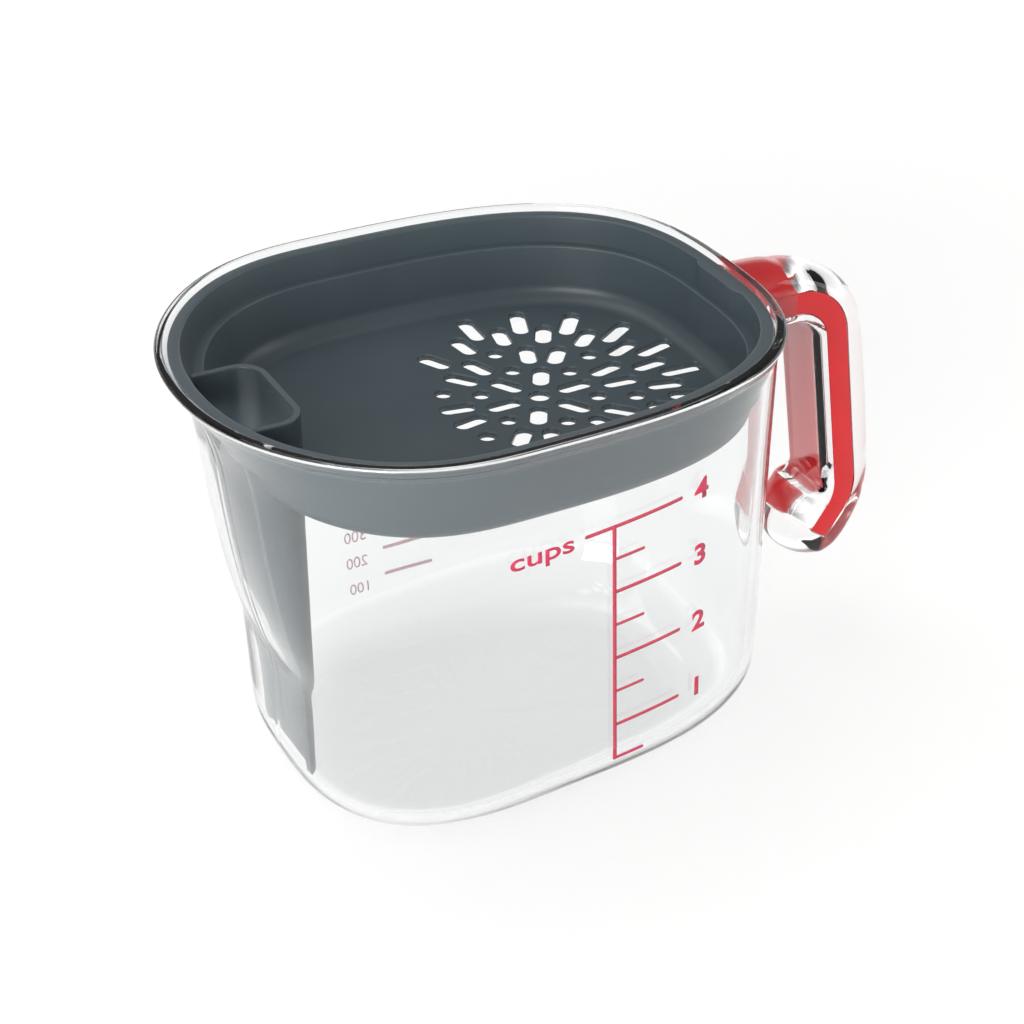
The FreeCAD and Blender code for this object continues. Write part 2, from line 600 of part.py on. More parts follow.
def grip_profile(body):
    """Flat sides, small rounds towards the jug and a crowned outer face."""
    sketch = start_sketch(body, "GripSection")
    half = 0.5 * size("handleWidth")
    edge = size("gripEdge")
    crown = size("gripCrown")
    low = size("handleTopZ") - 0.5 * size("coreDepth") - size("gripInner")
    high = size("handleTopZ") + 0.5 * size("coreDepth")
    crown_radius = (half ** 2 + crown ** 2) / (2.0 * crown)
    crown_centre = high + crown - crown_radius
    spring = math.atan2(high - crown_centre, half)
    up = Vector(0.0, 0.0, 1.0)
    right = Part.Circle(Vector(half - edge, low + edge, 0.0), up, edge)
    left = Part.Circle(Vector(-half + edge, low + edge, 0.0), up, edge)
    top = Part.Circle(Vector(0.0, crown_centre, 0.0), up, crown_radius)
    sketch.addGeometry([
        Part.LineSegment(Vector(-half + edge, low, 0.0), Vector(half - edge, low, 0.0)),
        Part.ArcOfCircle(right, -0.5 * math.pi, 0.0),
        Part.LineSegment(Vector(half, low + edge, 0.0), Vector(half, high, 0.0)),
        Part.ArcOfCircle(top, spring, math.pi - spring),
        Part.LineSegment(Vector(-half, high, 0.0), Vector(-half, low + edge, 0.0)),
        Part.ArcOfCircle(left, math.pi, 1.5 * math.pi),
    ], False)
    for first, then in ((0, 1), (1, 2), (4, 5), (5, 0)):
        sketch.addConstraint(Sketcher.Constraint("Tangent", first, 2, then, 1))
    sketch.addConstraint(Sketcher.Constraint("Coincident", 2, 2, 3, 1))
    sketch.addConstraint(Sketcher.Constraint("Coincident", 3, 2, 4, 1))
    sketch.addConstraint(Sketcher.Constraint("Horizontal", 0))
    sketch.addConstraint(Sketcher.Constraint("Vertical", 2))
    sketch.addConstraint(Sketcher.Constraint("Vertical", 4))
    sketch.addConstraint(Sketcher.Constraint("Equal", 1, 5))
    sketch.addConstraint(Sketcher.Constraint("Symmetric", 2, 2, 4, 1, -2))
    dimension(sketch, Sketcher.Constraint("DistanceX", 4, 1, 2, 2, 2.0 * half),
              "Dimensions.handleWidth", "width")
    dimension(sketch, Sketcher.Constraint("Radius", 1, edge), "Dimensions.gripEdge", "edge")
    dimension(sketch, Sketcher.Constraint("Radius", 3, crown_radius),
              "((Dimensions.handleWidth / 2) ^ 2 + Dimensions.gripCrown ^ 2)"
              " / (2 * Dimensions.gripCrown)", "crown")
    dimension(sketch, Sketcher.Constraint("DistanceY", -1, 1, 0, 1, low),
              "Dimensions.handleTopZ - Dimensions.coreDepth / 2 - Dimensions.gripInner", "low")
    dimension(sketch, Sketcher.Constraint("DistanceY", -1, 1, 2, 2, high),
              "Dimensions.handleTopZ + Dimensions.coreDepth / 2", "high")
    return sketch


core = doc.addObject("PartDesign::Body", "CoreBody")
swept(core, core_profile(core), hook_path(core, "CorePath"))
doc.recompute()

grip = doc.addObject("PartDesign::Body", "GripBody")
swept(grip, grip_profile(grip), hook_path(grip, "GripPath"))
bulb = grip.newObject("PartDesign::AdditiveEllipsoid", "Bulb")
bulb.setExpression("Radius1", "Dimensions.bulbRadius")
bulb.setExpression("Radius2", "Dimensions.bulbRadius")
bulb.setExpression("Radius3", "Dimensions.bulbWidth / 2")
bulb.setExpression("Placement.Base.x", "Dimensions.bulbX")
bulb.setExpression("Placement.Base.z", "Dimensions.bulbZ")
doc.recompute()

slab = doc.addObject("Part::Box", "HandleSlab")
slab.setExpression("Length", "2 * Dimensions.handleTurnX")
slab.setExpression("Width", "Dimensions.handleWidth")
slab.setExpression("Height", "Dimensions.jugHeight")
slab.setExpression("Placement.Base.y", "-Dimensions.handleWidth / 2")
grip_flat = common("GripFlat", grip, slab)
handle_grip = cut("handle_grip", cut("GripOutside", grip_flat, core), jug_outside)
handle_core = cut("handle_core", core, jug_outside)
doc.recompute()

# ----------------------------------------------------------- printed scales

MARKS = 2 * int(size("cupCount"))


def cup_mark(number):
    """Distance of a half-cup mark up the long line, as an expression; the first is 0."""
    return "(%d * Dimensions.cupStep - %d * Dimensions.cupShrink)" % (number, number ** 2)


ink_skin = feature("InkSkin", hull(size("inkThick"), 0.0, lip_low))


def stroke(name, foot, tilt, low, high, side):
    """Box that marks one printed line through a side wall.

    foot, low and high are pairs of expressions, across and up. The corners are
    measured from foot, and the print is turned about it by tilt.
    """
    box = doc.addObject("Part::Box", name)
    box.setExpression("Length", "(%s) - (%s)" % (high[0], low[0]))
    box.setExpression("Width", "Dimensions.rimHalfWidth")
    box.setExpression("Height", "(%s) - (%s)" % (high[1], low[1]))
    box.Placement = FreeCAD.Placement(Vector(), FreeCAD.Rotation(Vector(0.0, -1.0, 0.0), 1.0))
    box.setExpression("Placement.Rotation.Angle", "(%s) * 1 deg" % tilt)
    turned = (foot[0], low[0], tilt, low[1], tilt)
    box.setExpression("Placement.Base.x", "%s + (%s) * cos(%s) - (%s) * sin(%s)" % turned)
    turned = (foot[1], low[0], tilt, low[1], tilt)
    box.setExpression("Placement.Base.z", "%s + (%s) * sin(%s) + (%s) * cos(%s)" % turned)
    if side < 0:
        box.setExpression("Placement.Base.y", "-Dimensions.rimHalfWidth - 1")
    else:
        box.setExpression("Placement.Base.y", "1")
    return box


def tick(name, foot, tilt, near, far, up, side):
    half = " Dimensions.inkLine / 2"
    return stroke(name, foot, tilt, (near, up + " -" + half), (far, up + " +" + half), side)


CUP_FOOT = ("Dimensions.cupFootX", "Dimensions.cupFootZ")
CUP_TILT = "Dimensions.cupTilt"
cup_strokes = [stroke(
    "CupLine",
    CUP_FOOT,
    CUP_TILT,
    ("-Dimensions.inkLine / 2", "-Dimensions.inkLine / 2"),
    ("Dimensions.inkLine / 2", cup_mark(MARKS - 1) + " + Dimensions.inkLine / 2"),
    -1,
)]
for i in range(MARKS):
    near = "0"
    far = "Dimensions.halfTick"
    if i % 2 == 1:
        far = "Dimensions.cupTick"
    if i == MARKS - 1:
        near = "-Dimensions.cupTickBack"
    cup_strokes.append(tick("HalfCup%d" % (i + 1), CUP_FOOT, CUP_TILT, near, far, cup_mark(i), -1))
LITRE_FOOT = ("Dimensions.litreTickX", "Dimensions.litreFirstZ")
litre_strokes = []
for i in range(int(size("litreCount"))):
    litre_strokes.append(tick("Hundred%d" % (i + 1), LITRE_FOOT, "0", "0",
                              "Dimensions.litreTick", "%d * Dimensions.litrePitch" % i, 1))
cups_scale = cut("cups_scale", common("CupInk", fuse("CupStrokes", cup_strokes), ink_skin),
                 jug_outside)
millilitre_scale = cut("millilitre_scale",
                       common("LitreInk", fuse("LitreStrokes", litre_strokes), ink_skin),
                       jug_outside)
doc.recompute()

# ------------------------------------------------------------ check and save

NODES = [jug_body, handle_grip, handle_core, strainer_tray, pour_channel, cups_scale,
         millilitre_scale]
for item in doc.Objects:
    if "Invalid" in item.State or "Error" in item.State:
        raise RuntimeError(item.Name + " failed to compute")
os.makedirs("parts", exist_ok=True)
for node in NODES:
    if node.Shape.isNull() or not node.Shape.isValid():
        raise RuntimeError(node.Label + " has no valid shape")
    print(node.Label, len(node.Shape.Solids), "solids", round(node.Shape.Volume), "mm3")
for node in NODES:
    node.Shape.exportStep("parts/" + node.Label + ".step")
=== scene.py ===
import math

import bpy
import numpy as np
from mathutils import Matrix, Vector
from mathutils.geometry import delaunay_2d_cdt


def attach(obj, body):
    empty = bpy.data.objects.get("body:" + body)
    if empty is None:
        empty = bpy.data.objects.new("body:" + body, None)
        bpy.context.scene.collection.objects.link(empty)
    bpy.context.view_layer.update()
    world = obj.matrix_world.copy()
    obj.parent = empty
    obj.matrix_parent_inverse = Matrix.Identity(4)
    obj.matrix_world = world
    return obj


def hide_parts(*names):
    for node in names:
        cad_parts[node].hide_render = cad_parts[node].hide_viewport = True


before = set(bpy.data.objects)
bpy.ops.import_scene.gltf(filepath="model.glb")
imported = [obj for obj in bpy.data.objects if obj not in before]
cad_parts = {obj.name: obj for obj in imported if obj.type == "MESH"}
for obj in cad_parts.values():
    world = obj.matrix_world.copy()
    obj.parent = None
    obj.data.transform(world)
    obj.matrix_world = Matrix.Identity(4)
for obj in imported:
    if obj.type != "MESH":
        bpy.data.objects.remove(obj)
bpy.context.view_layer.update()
print("frame loaded:", ", ".join(sorted(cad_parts)))

mm = 0.001


# Small helpers for meshes.

def between(low, high, share):
    return low + (high - low) * share


def gridFaces(rowCount, columnCount, wrapRows=False, wrapColumns=True, first=0):
    # quads of a grid; a face looks along (column direction) x (row direction)
    rows = np.arange(rowCount if wrapRows else rowCount - 1)
    columns = np.arange(columnCount if wrapColumns else columnCount - 1)
    i, j = np.meshgrid(rows, columns, indexing="ij")
    nextRow, nextColumn = (i + 1) % rowCount, (j + 1) % columnCount
    quads = np.stack([i * columnCount + j, i * columnCount + nextColumn,
                      nextRow * columnCount + nextColumn, nextRow * columnCount + j], -1)
    return quads.reshape(-1, 4) + first


def cappedTube(rings, firstPole, lastPole):
    # points and faces of a closed form: rings joined in a row, with a pole at each end
    count, columns = rings.shape[:2]
    points = np.concatenate([rings.reshape(-1, 3), [firstPole], [lastPole]])
    ring = np.arange(columns)
    after, pole = np.roll(ring, -1), np.full(columns, count * columns)
    last = (count - 1) * columns
    return points, [gridFaces(count, columns), np.stack([pole, after, ring], -1),
                    np.stack([pole + 1, ring + last, after + last], -1)]


def asLists(faces, first=0):
    # faces as plain lists of vertex numbers, counted on from first
    if isinstance(faces, np.ndarray):
        return (faces + first).tolist()
    return [[i + first for i in face] for face in faces]


def placeObject(name, data):
    made = bpy.data.objects.new(name, data)
    bpy.context.scene.collection.objects.link(made)
    return made


def evaluatedMesh(made):
    # the mesh that an object's modifiers or letters come to
    bpy.context.view_layer.update()
    return bpy.data.meshes.new_from_object(
        made.evaluated_get(bpy.context.evaluated_depsgraph_get()))


def makePiece(name, points, faces, body, node, material, sharp):
    # points in millimetres, faces as groups of vertex numbers, sharp as an angle in degrees
    mesh = bpy.data.meshes.new(name)
    flat = [face for group in faces for face in asLists(group)]
    mesh.from_pydata((np.asarray(points, float).reshape(-1, 3) * mm).tolist(), [], flat)
    mesh.validate()
    mesh.shade_smooth()
    mesh.set_sharp_from_angle(angle=math.radians(sharp))
    piece = placeObject(name, mesh)
    mesh.materials.append(material)
    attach(piece, body)
    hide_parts(node)
    return piece


def joined(parts):
    # one mesh from parts of (points, groups of faces), each part numbered from nought
    points, faces, used = [], [], 0
    for partPoints, groups in parts:
        points.append(partPoints)
        faces += [face for group in groups for face in asLists(group, used)]
        used += len(partPoints)
    return np.concatenate(points), [faces]


def curveThrough(points, count):
    # Catmull-Rom line through the points, evenly in point number
    points = np.asarray(points, float)
    padded = np.concatenate([[2 * points[0] - points[1]], points, [2 * points[-1] - points[-2]]])
    at = np.linspace(0, len(points) - 1, count)
    i = np.minimum(at.astype(int), len(points) - 2)
    t = (at - i)[:, None]
    a, b, c, d = padded[i], padded[i + 1], padded[i + 2], padded[i + 3]
    return 0.5 * (2 * b + (c - a) * t + (2 * a - 5 * b + 4 * c - d) * t ** 2
                  + (3 * b - a - 3 * c + d) * t ** 3)


def roundedCorners(points, radii, steps=5):
    # open line in a plane whose inner corners are replaced by arcs
    points = np.asarray(points, float)
    out = [points[:1]]
    for before, corner, after, radius in zip(points[:-2], points[1:-1], points[2:], radii):
        back, on = before - corner, after - corner
        backLength, onLength = np.linalg.norm(back), np.linalg.norm(on)
        back, on = back / backLength, on / onLength
        half = 0.5 * math.acos(float(np.clip(back @ on, -1, 1)))
        run = min(radius / math.tan(half), 0.49 * backLength, 0.49 * onLength)
        reach = run * math.tan(half)
        middle = corner + (back + on) / np.linalg.norm(back + on) * reach / math.sin(half)
        start, end = corner + back * run - middle, corner + on * run - middle
        turn = math.acos(float(np.clip(start @ end / reach ** 2, -1, 1)))
        share = np.linspace(0, 1, steps)[:, None]
        out.append(middle + (np.sin((1 - share) * turn) * start + np.sin(share * turn) * end)
                   / math.sin(turn))
    out.append(points[-1:])
    return np.concatenate(out)


# Small helpers for materials.

def colour(code):
    # sRGB hex to linear RGBA
    parts = [int(code[i:i + 2], 16) / 255 for i in (1, 3, 5)]
    return [p / 12.92 if p <= 0.04045 else ((p + 0.055) / 1.055) ** 2.4 for p in parts] + [1.0]


def addNode(tree, kind, settings=None, links=None):
    # adds one node, sets its properties and inputs, and links its inputs
    node = tree.nodes.new(kind)
    for key, value in (settings or {}).items():
        if isinstance(key, str) and hasattr(node, key):
            setattr(node, key, value)
        else:
            node.inputs[key].default_value = value
    for key, source in (links or {}).items():
        tree.links.new(source, node.inputs[key])
    return node


def maths(tree, operation, *values):
    # one arithmetic node on numbers and other nodes' outputs
    node = addNode(tree, "ShaderNodeMath", {"operation": operation})
    for i, value in enumerate(values):
        if isinstance(value, (int, float)):
            node.inputs[i].default_value = value
        else:
            tree.links.new(value, node.inputs[i])
    return node.outputs["Value"]


def noise(tree, sizeMm, detail, roughness=0.5):
    place = addNode(tree, "ShaderNodeTexCoord")
    cloud = addNode(tree, "ShaderNodeTexNoise",
                    {"Scale": 1000 / sizeMm, "Detail": detail, "Roughness": roughness},
                    {"Vector": place.outputs["Object"]})
    return cloud.outputs["Fac"]


def bump(tree, height, strength, distance):
    return addNode(tree, "ShaderNodeBump", {"Strength": strength, "Distance": distance},
                   {"Height": height}).outputs["Normal"]


def twoTone(tree, look, share):
    return addNode(tree, "ShaderNodeMix",
                   {"data_type": "RGBA", 6: colour(look["dark"]), 7: colour(look["light"])},
                   {0: share}).outputs[2]


def newMaterial(name):
    material = bpy.data.materials.new(name)
    material.use_nodes = True
    material.node_tree.nodes.clear()
    return material, material.node_tree


def surface(tree, kind, settings, links):
    # the shader that a material ends in
    shader = addNode(tree, kind, settings, links)
    output = addNode(tree, "ShaderNodeOutputMaterial")
    tree.links.new(shader.outputs[0], output.inputs["Surface"])


# Clear jug: injection moulded SAN, polished mould, a faint waviness from the flow.
clearLook = {"tint": "#FAFBFB", "ior": 1.50, "roughness": 0.0, "waveMm": 26.0, "wave": 0.012,
             "waveDeep": 0.002, "shadow": 0.16}
# Strainer: grey polypropylene, spark-eroded mould, so a fine even grain and a soft sheen.
greyLook = {"dark": "#3D484D", "light": "#48545A", "grainMm": 0.55, "grain": 0.16,
            "grainDeep": 0.0002, "cloudMm": 30.0, "roughness": (0.33, 0.45), "ior": 1.49}
# Core: red ABS, satin from the mould, a hint of flow marks.
redLook = {"dark": "#C4000C", "light": "#DA0614", "flowMm": 9.0, "flow": 0.05,
           "flowDeep": 0.0004, "roughness": 0.30, "ior": 1.53}
# Print: crimson pad-printed ink, thin and glossy, with slightly uneven cover. The far scale's
# colour is painted paler: painted haze and light that stand in for its being seen through two
# walls.
inkLook = {"dark": "#C5143F", "light": "#D2305A", "coverMm": 1.6, "roughness": 0.35, "ior": 1.5}
paintedPaleInkLook = dict(inkLook, dark="#F2B9C4", light="#F8D6DC", coverMm=2.2)


def clearPlastic(name, look):
    material, tree = newMaterial(name)
    flow = noise(tree, look["waveMm"], 1.0)
    rays = addNode(tree, "ShaderNodeLightPath")
    # shadow rays are let through almost whole
    solid = maths(tree, "MULTIPLY_ADD", rays.outputs["Is Shadow Ray"], look["shadow"] - 1, 1.0)
    surface(tree, "ShaderNodeBsdfPrincipled",
            {"Base Color": colour(look["tint"]), "Roughness": look["roughness"],
             "IOR": look["ior"], "Transmission Weight": 1.0},
            {"Normal": bump(tree, flow, look["wave"], look["waveDeep"]), "Alpha": solid})
    return material


def greyPlastic(name, look):
    material, tree = newMaterial(name)
    grain = noise(tree, look["grainMm"], 3.0, 0.6)
    smooth, rough = look["roughness"]
    uneven = addNode(tree, "ShaderNodeMapRange", {"To Min": smooth, "To Max": rough},
                     {"Value": grain})
    surface(tree, "ShaderNodeBsdfPrincipled", {"IOR": look["ior"]},
            {"Base Color": twoTone(tree, look, noise(tree, look["cloudMm"], 2.0)),
             "Roughness": uneven.outputs["Result"],
             "Normal": bump(tree, grain, look["grain"], look["grainDeep"])})
    return material


def redPlastic(name, look):
    material, tree = newMaterial(name)
    flow = noise(tree, look["flowMm"], 4.0)
    surface(tree, "ShaderNodeBsdfPrincipled",
            {"Roughness": look["roughness"], "IOR": look["ior"]},
            {"Base Color": twoTone(tree, look, flow),
             "Normal": bump(tree, flow, look["flow"], look["flowDeep"])})
    return material


def printInk(name, look):
    material, tree = newMaterial(name)
    surface(tree, "ShaderNodeBsdfPrincipled",
            {"Roughness": look["roughness"], "IOR": look["ior"]},
            {"Base Color": twoTone(tree, look, noise(tree, look["coverMm"], 3.0))})
    return material


jugMaterial = clearPlastic("clearMouldedSan", clearLook)
gripMaterial = clearPlastic("clearHandleSan", dict(clearLook, tint="#FBFAFA"))
greyMaterial = greyPlastic("greyMouldedPolypropylene", greyLook)
redMaterial = redPlastic("redMouldedAbs", redLook)
inkMaterial = printInk("crimsonPadInk", inkLook)
# the far scale's ink, painted paler as painted haze for the light seen through two walls
paintedPaleInkMaterial = printInk("paintedHazePadInk", paintedPaleInkLook)
print("materials ready")


# Jug. Each pair is (foot, rim): the plan is a superellipse whose size, squareness and waist
# change evenly with height, and the spout bulges out of its nose half.

jug = {
    "height": 120.0, "wall": 2.6, "floor": 3.0, "waist": (-8.5, -16.7),
    "back": (68.9, 68.4), "nose": (62.8, 65.0), "halfWidth": (50.0, 62.2),
    "backPower": (3.25, 2.85), "nosePower": (2.8, 2.85),
    "footRound": (10.5, 21.0),
    "spoutStart": 39.8, "spoutBlend": 0.05, "spoutEase": 0.5, "spoutReach": 11.1,
    "spoutHalf": (57.0, 76.0), "spoutRidge": 1.5, "curlStart": 95.0, "curl": 6.2,
    "lipLow": 114.0, "mouldLine": 0.07, "mouldLineHalf": 0.25,
    # outline of the lip in (offset, height): a bead that swells out and rounds over to the
    # rim, then the rebate that the ring sits in, down to the wall's inner face
    "bead": [(0, 114), (0.36, 115.5), (1.18, 117), (1.77, 118.5), (1.57, 119.5), (0.9, 119.97)],
    "rebate": [(0.9, 119.97), (-0.9, 119.97), (-0.9, 117.2), (-2.6, 117.2), (-2.6, 115.5)],
    "rebateRound": (0.35, 0.25, 0.3),
    "columns": 320, "wallRows": 44, "roundRows": 11,
}


def spoutShift(y, z):
    # bulge = reach(height) * cos^ridge across the nose; reach = r s (1 + e) / (s + e), with
    # s the share of the bulge's height, rounded off where it begins
    rise = (z - jug["spoutStart"]) / (jug["height"] - jug["spoutStart"])
    swell = 0.5 * (rise + np.hypot(rise, jug["spoutBlend"]))
    half = between(*jug["spoutHalf"], swell)
    curl = np.clip((z - jug["curlStart"]) / (jug["height"] - jug["curlStart"]), 0, 1)
    ease = jug["spoutEase"]
    reach = jug["spoutReach"] * swell * (1 + ease) / (swell + ease) + jug["curl"] * curl ** 2
    return reach * np.cos(0.5 * np.pi * np.clip(y / half, -1, 1)) ** jug["spoutRidge"]


def planSizes(z, offset, isBack):
    # waist, reach from it, half width and power of the plan at a height
    share = z / jug["height"]
    waist = between(*jug["waist"], share)
    reach = np.where(isBack, between(*jug["back"], share) - waist,
                     between(*jug["nose"], share) + waist) + offset
    power = np.where(isBack, between(*jug["backPower"], share), between(*jug["nosePower"], share))
    return waist, reach, between(*jug["halfWidth"], share) + offset, power


def wallPoint(turn, z, offset):
    # |x / reach|^p + |y / half|^p = 1 about the waist, with the two halves' own reach and p
    turn, z, offset = np.broadcast_arrays(turn, z, np.asarray(offset, float))
    isBack = np.cos(turn) > 0
    waist, reach, half, power = planSizes(z, offset, isBack)
    ray = (np.abs(np.cos(turn) / reach) ** power
           + np.abs(np.sin(turn) / half) ** power) ** (-1 / power)
    x, y = waist + ray * np.cos(turn), ray * np.sin(turn)
    return np.stack([x - np.where(isBack, 0, spoutShift(y, z)), y, z + 0 * x], -1)


def wallX(y, z, offset, towardsHandle):
    # the same wall, solved for x at a given y and height
    waist, reach, half, power = planSizes(z, offset, towardsHandle)
    run = reach * (1 - np.abs(y / half) ** power) ** (1 / power)
    return waist + run if towardsHandle else waist - run - spoutShift(y, z)


def wallY(x, z, offset):
    # the same side wall, solved for |y| at a given x and height
    waist, reach, half, power = planSizes(z, offset, x > between(*jug["waist"], z / jug["height"]))
    return half * (1 - np.abs((x - waist) / reach) ** power) ** (1 / power)


def footRadius(turn):
    return between(*jug["footRound"], 0.5 + 0.5 * np.cos(turn))


lipOutside = curveThrough(jug["bead"], 26)
lipInside = roundedCorners(jug["rebate"], jug["rebateRound"], 5)
lipLine = np.concatenate([lipOutside, lipInside[1:]])


def lipOffset(z):
    # how far the bead stands out of the wall at a height
    return np.interp(z, lipOutside[:, 1], lipOutside[:, 0])


def jugShell():
    # round the foot, up the wall, over the lip, down the inside and round the inner foot
    turns = np.linspace(0, 2 * np.pi, jug["columns"], endpoint=False)
    ones = np.ones_like(turns)
    radius = footRadius(turns)
    innerRadius = radius - jug["wall"]
    arc = np.linspace(0, 0.5 * np.pi, jug["roundRows"])[:, None]
    outFoot = (radius * (1 - np.cos(arc)), -radius * (1 - np.sin(arc)))
    rise = np.linspace(0, 1, jug["wallRows"])[1:-1, None]
    plain = 0 * radius + 0 * rise
    outWall = (radius + (jug["lipLow"] - radius) * rise, plain)
    lip = (lipLine[:, 1:] * ones, lipLine[:, :1] * ones)
    innerTop = lipLine[-1, 1]
    innerFoot = jug["floor"] + innerRadius
    inWall = (innerTop + (innerFoot - innerTop) * rise, plain - jug["wall"])
    back = arc[::-1]
    inFoot = (jug["floor"] + innerRadius * (1 - np.cos(back)),
              -jug["wall"] - innerRadius * (1 - np.sin(back)))
    z, offset = [np.concatenate(rows) for rows in zip(outFoot, outWall, lip, inWall, inFoot)]
    shell = wallPoint(turns, z, offset)
    # mould line: a hairline ridge down the nose
    nose = ((shell[..., 0] < -30) & (z > jug["floor"]) & (z < jug["lipLow"] - 1)
            & (offset > -0.01))
    ridge = jug["mouldLine"] * np.exp(-(shell[..., 1] / jug["mouldLineHalf"]) ** 2)
    shell[..., 0] -= np.where(nose, ridge, 0)
    centre = np.array([jug["waist"][0], 0, 0])
    shares = np.array([0.35, 0.7])[:, None, None]
    underneath = centre + (shell[0] - centre) * shares
    inner = centre + [0, 0, jug["floor"]]
    inside = inner + (shell[-1] - inner) * shares[::-1]
    points, faces = cappedTube(np.concatenate([underneath, shell, inside]), centre, inner)
    makePiece("jugShell", points, faces, "jug", "jug_body", jugMaterial, 30)


jugShell()
print("jug shell made")


# Handle. The line runs in the XZ plane: top run, bend, leaning grip, bend, foot. Sections stand
# across it: b is Y, n points away from the jug.

handle = {
    "halfWidth": 10.0, "coreDepth": 6.5, "inner": 3.2, "startX": 55.0, "topZ": 107.5,
    "turnX": 97.4, "topRadius": 13.0, "lean": 8.0, "lowZ": 43.8, "lowRadius": 14.0,
    "hook": 36.0, "tipZ": 32.5, "bulb": (99.4, 35.4), "bulbRadius": 12.4, "bulbHalf": 12.5,
    # height of the clear crown over the core, by share of the line's length
    "crown": [(0.0, 7.0), (0.1, 6.6), (0.2, 6.1), (0.3, 4.9), (0.38, 6.6), (0.46, 8.6),
              (0.6, 9.15), (0.75, 9.1), (0.86, 8.6), (1.0, 8.2)],
    "rootInset": 0.2, "soft": 2.2, "lift": 2.4,
    # squareness of the section: crown and inner face of the grip, the blend, the bulb
    "crownPower": 2.1, "innerPower": 7.0, "blendPower": 3.2, "ballPower": 2.2,
    "slotGap": 0.12, "skin": 0.05, "coreInset": 0.1, "coreRound": 0.5, "coreTip": 0.8,
    "coreTipShrink": 0.12, "columns": 128, "lineSteps": 150, "coreSteps": 120,
}


def handleLine(count):
    # arc lengths along line, arc, line, arc, line, and the point and direction at each
    lean, hook = math.radians(handle["lean"]), math.radians(handle["hook"])
    top = np.array([handle["turnX"], handle["topZ"]])
    down = np.array([math.sin(lean), -math.cos(lean)])
    back = np.array([-math.sin(hook), -math.cos(hook)])
    low = top + down * (handle["topZ"] - handle["lowZ"]) / math.cos(lean)
    tip = low + back * (handle["lowZ"] - handle["tipZ"]) / math.cos(hook)
    runTop = handle["topRadius"] * math.tan(0.5 * (0.5 * math.pi - lean))
    runLow = handle["lowRadius"] * math.tan(0.5 * (lean + hook))
    lengths = [top[0] - runTop - handle["startX"], handle["topRadius"] * (0.5 * math.pi - lean),
               np.linalg.norm(low - top) - runTop - runLow, handle["lowRadius"] * (lean + hook),
               np.linalg.norm(tip - low) - runLow]
    stops = np.concatenate([[0], np.cumsum(lengths)])
    s = np.linspace(0, stops[-1], count)
    heading = np.interp(s, stops, [0, 0, -0.5 * math.pi + lean, -0.5 * math.pi + lean,
                                   -0.5 * math.pi - hook, -0.5 * math.pi - hook])
    fine = np.linspace(0, stops[-1], 6001)
    fineHeading = np.interp(fine, s, heading)
    step = np.stack([np.cos(fineHeading), np.sin(fineHeading)], -1)
    middle = 0.5 * (step[1:] + step[:-1]) * (fine[1] - fine[0])
    line = np.concatenate([[[0, 0]], np.cumsum(middle, 0)]) + [handle["startX"], handle["topZ"]]
    points = np.stack([np.interp(s, fine, line[:, 0]), np.interp(s, fine, line[:, 1])], -1)
    points += (tip - points[-1]) * (s / stops[-1])[:, None]
    return s, points, heading


def sectionRing(angle, half, outer, inner, topPower, lowPower):
    # polar superellipse, r = (|cos/half|^p + |sin/extent|^p)^(-1/p)
    up = np.sin(angle) > 0
    extent = np.where(up, outer, inner)
    power = np.where(up, topPower, lowPower)
    r = (np.abs(np.cos(angle) / half) ** power + np.abs(np.sin(angle) / extent) ** power)
    r = r ** (-1 / power)
    return r * np.cos(angle), r * np.sin(angle)


def smoothStep(low, high, value):
    t = np.clip((value - low) / (high - low), 0, 1)
    return t * t * (3 - 2 * t)


def sweep(line, heading, across, out):
    # sections across the line: across is Y, out points away from the jug
    return np.stack([line[:, :1] - out * np.sin(heading)[:, None], across + 0 * line[:, :1],
                     line[:, 1:] + out * np.cos(heading)[:, None]], -1)


def shareTopRun(rings, heading, rootX):
    # spaces the sections of the straight top run evenly from the root, and returns its last
    bendStart = int(np.argmax(heading < -1e-6)) - 1
    spread = (np.arange(bendStart + 1) / bendStart)[:, None]
    rings[:bendStart + 1, :, 0] = rootX + (rings[bendStart, :, 0] - rootX) * spread
    return bendStart


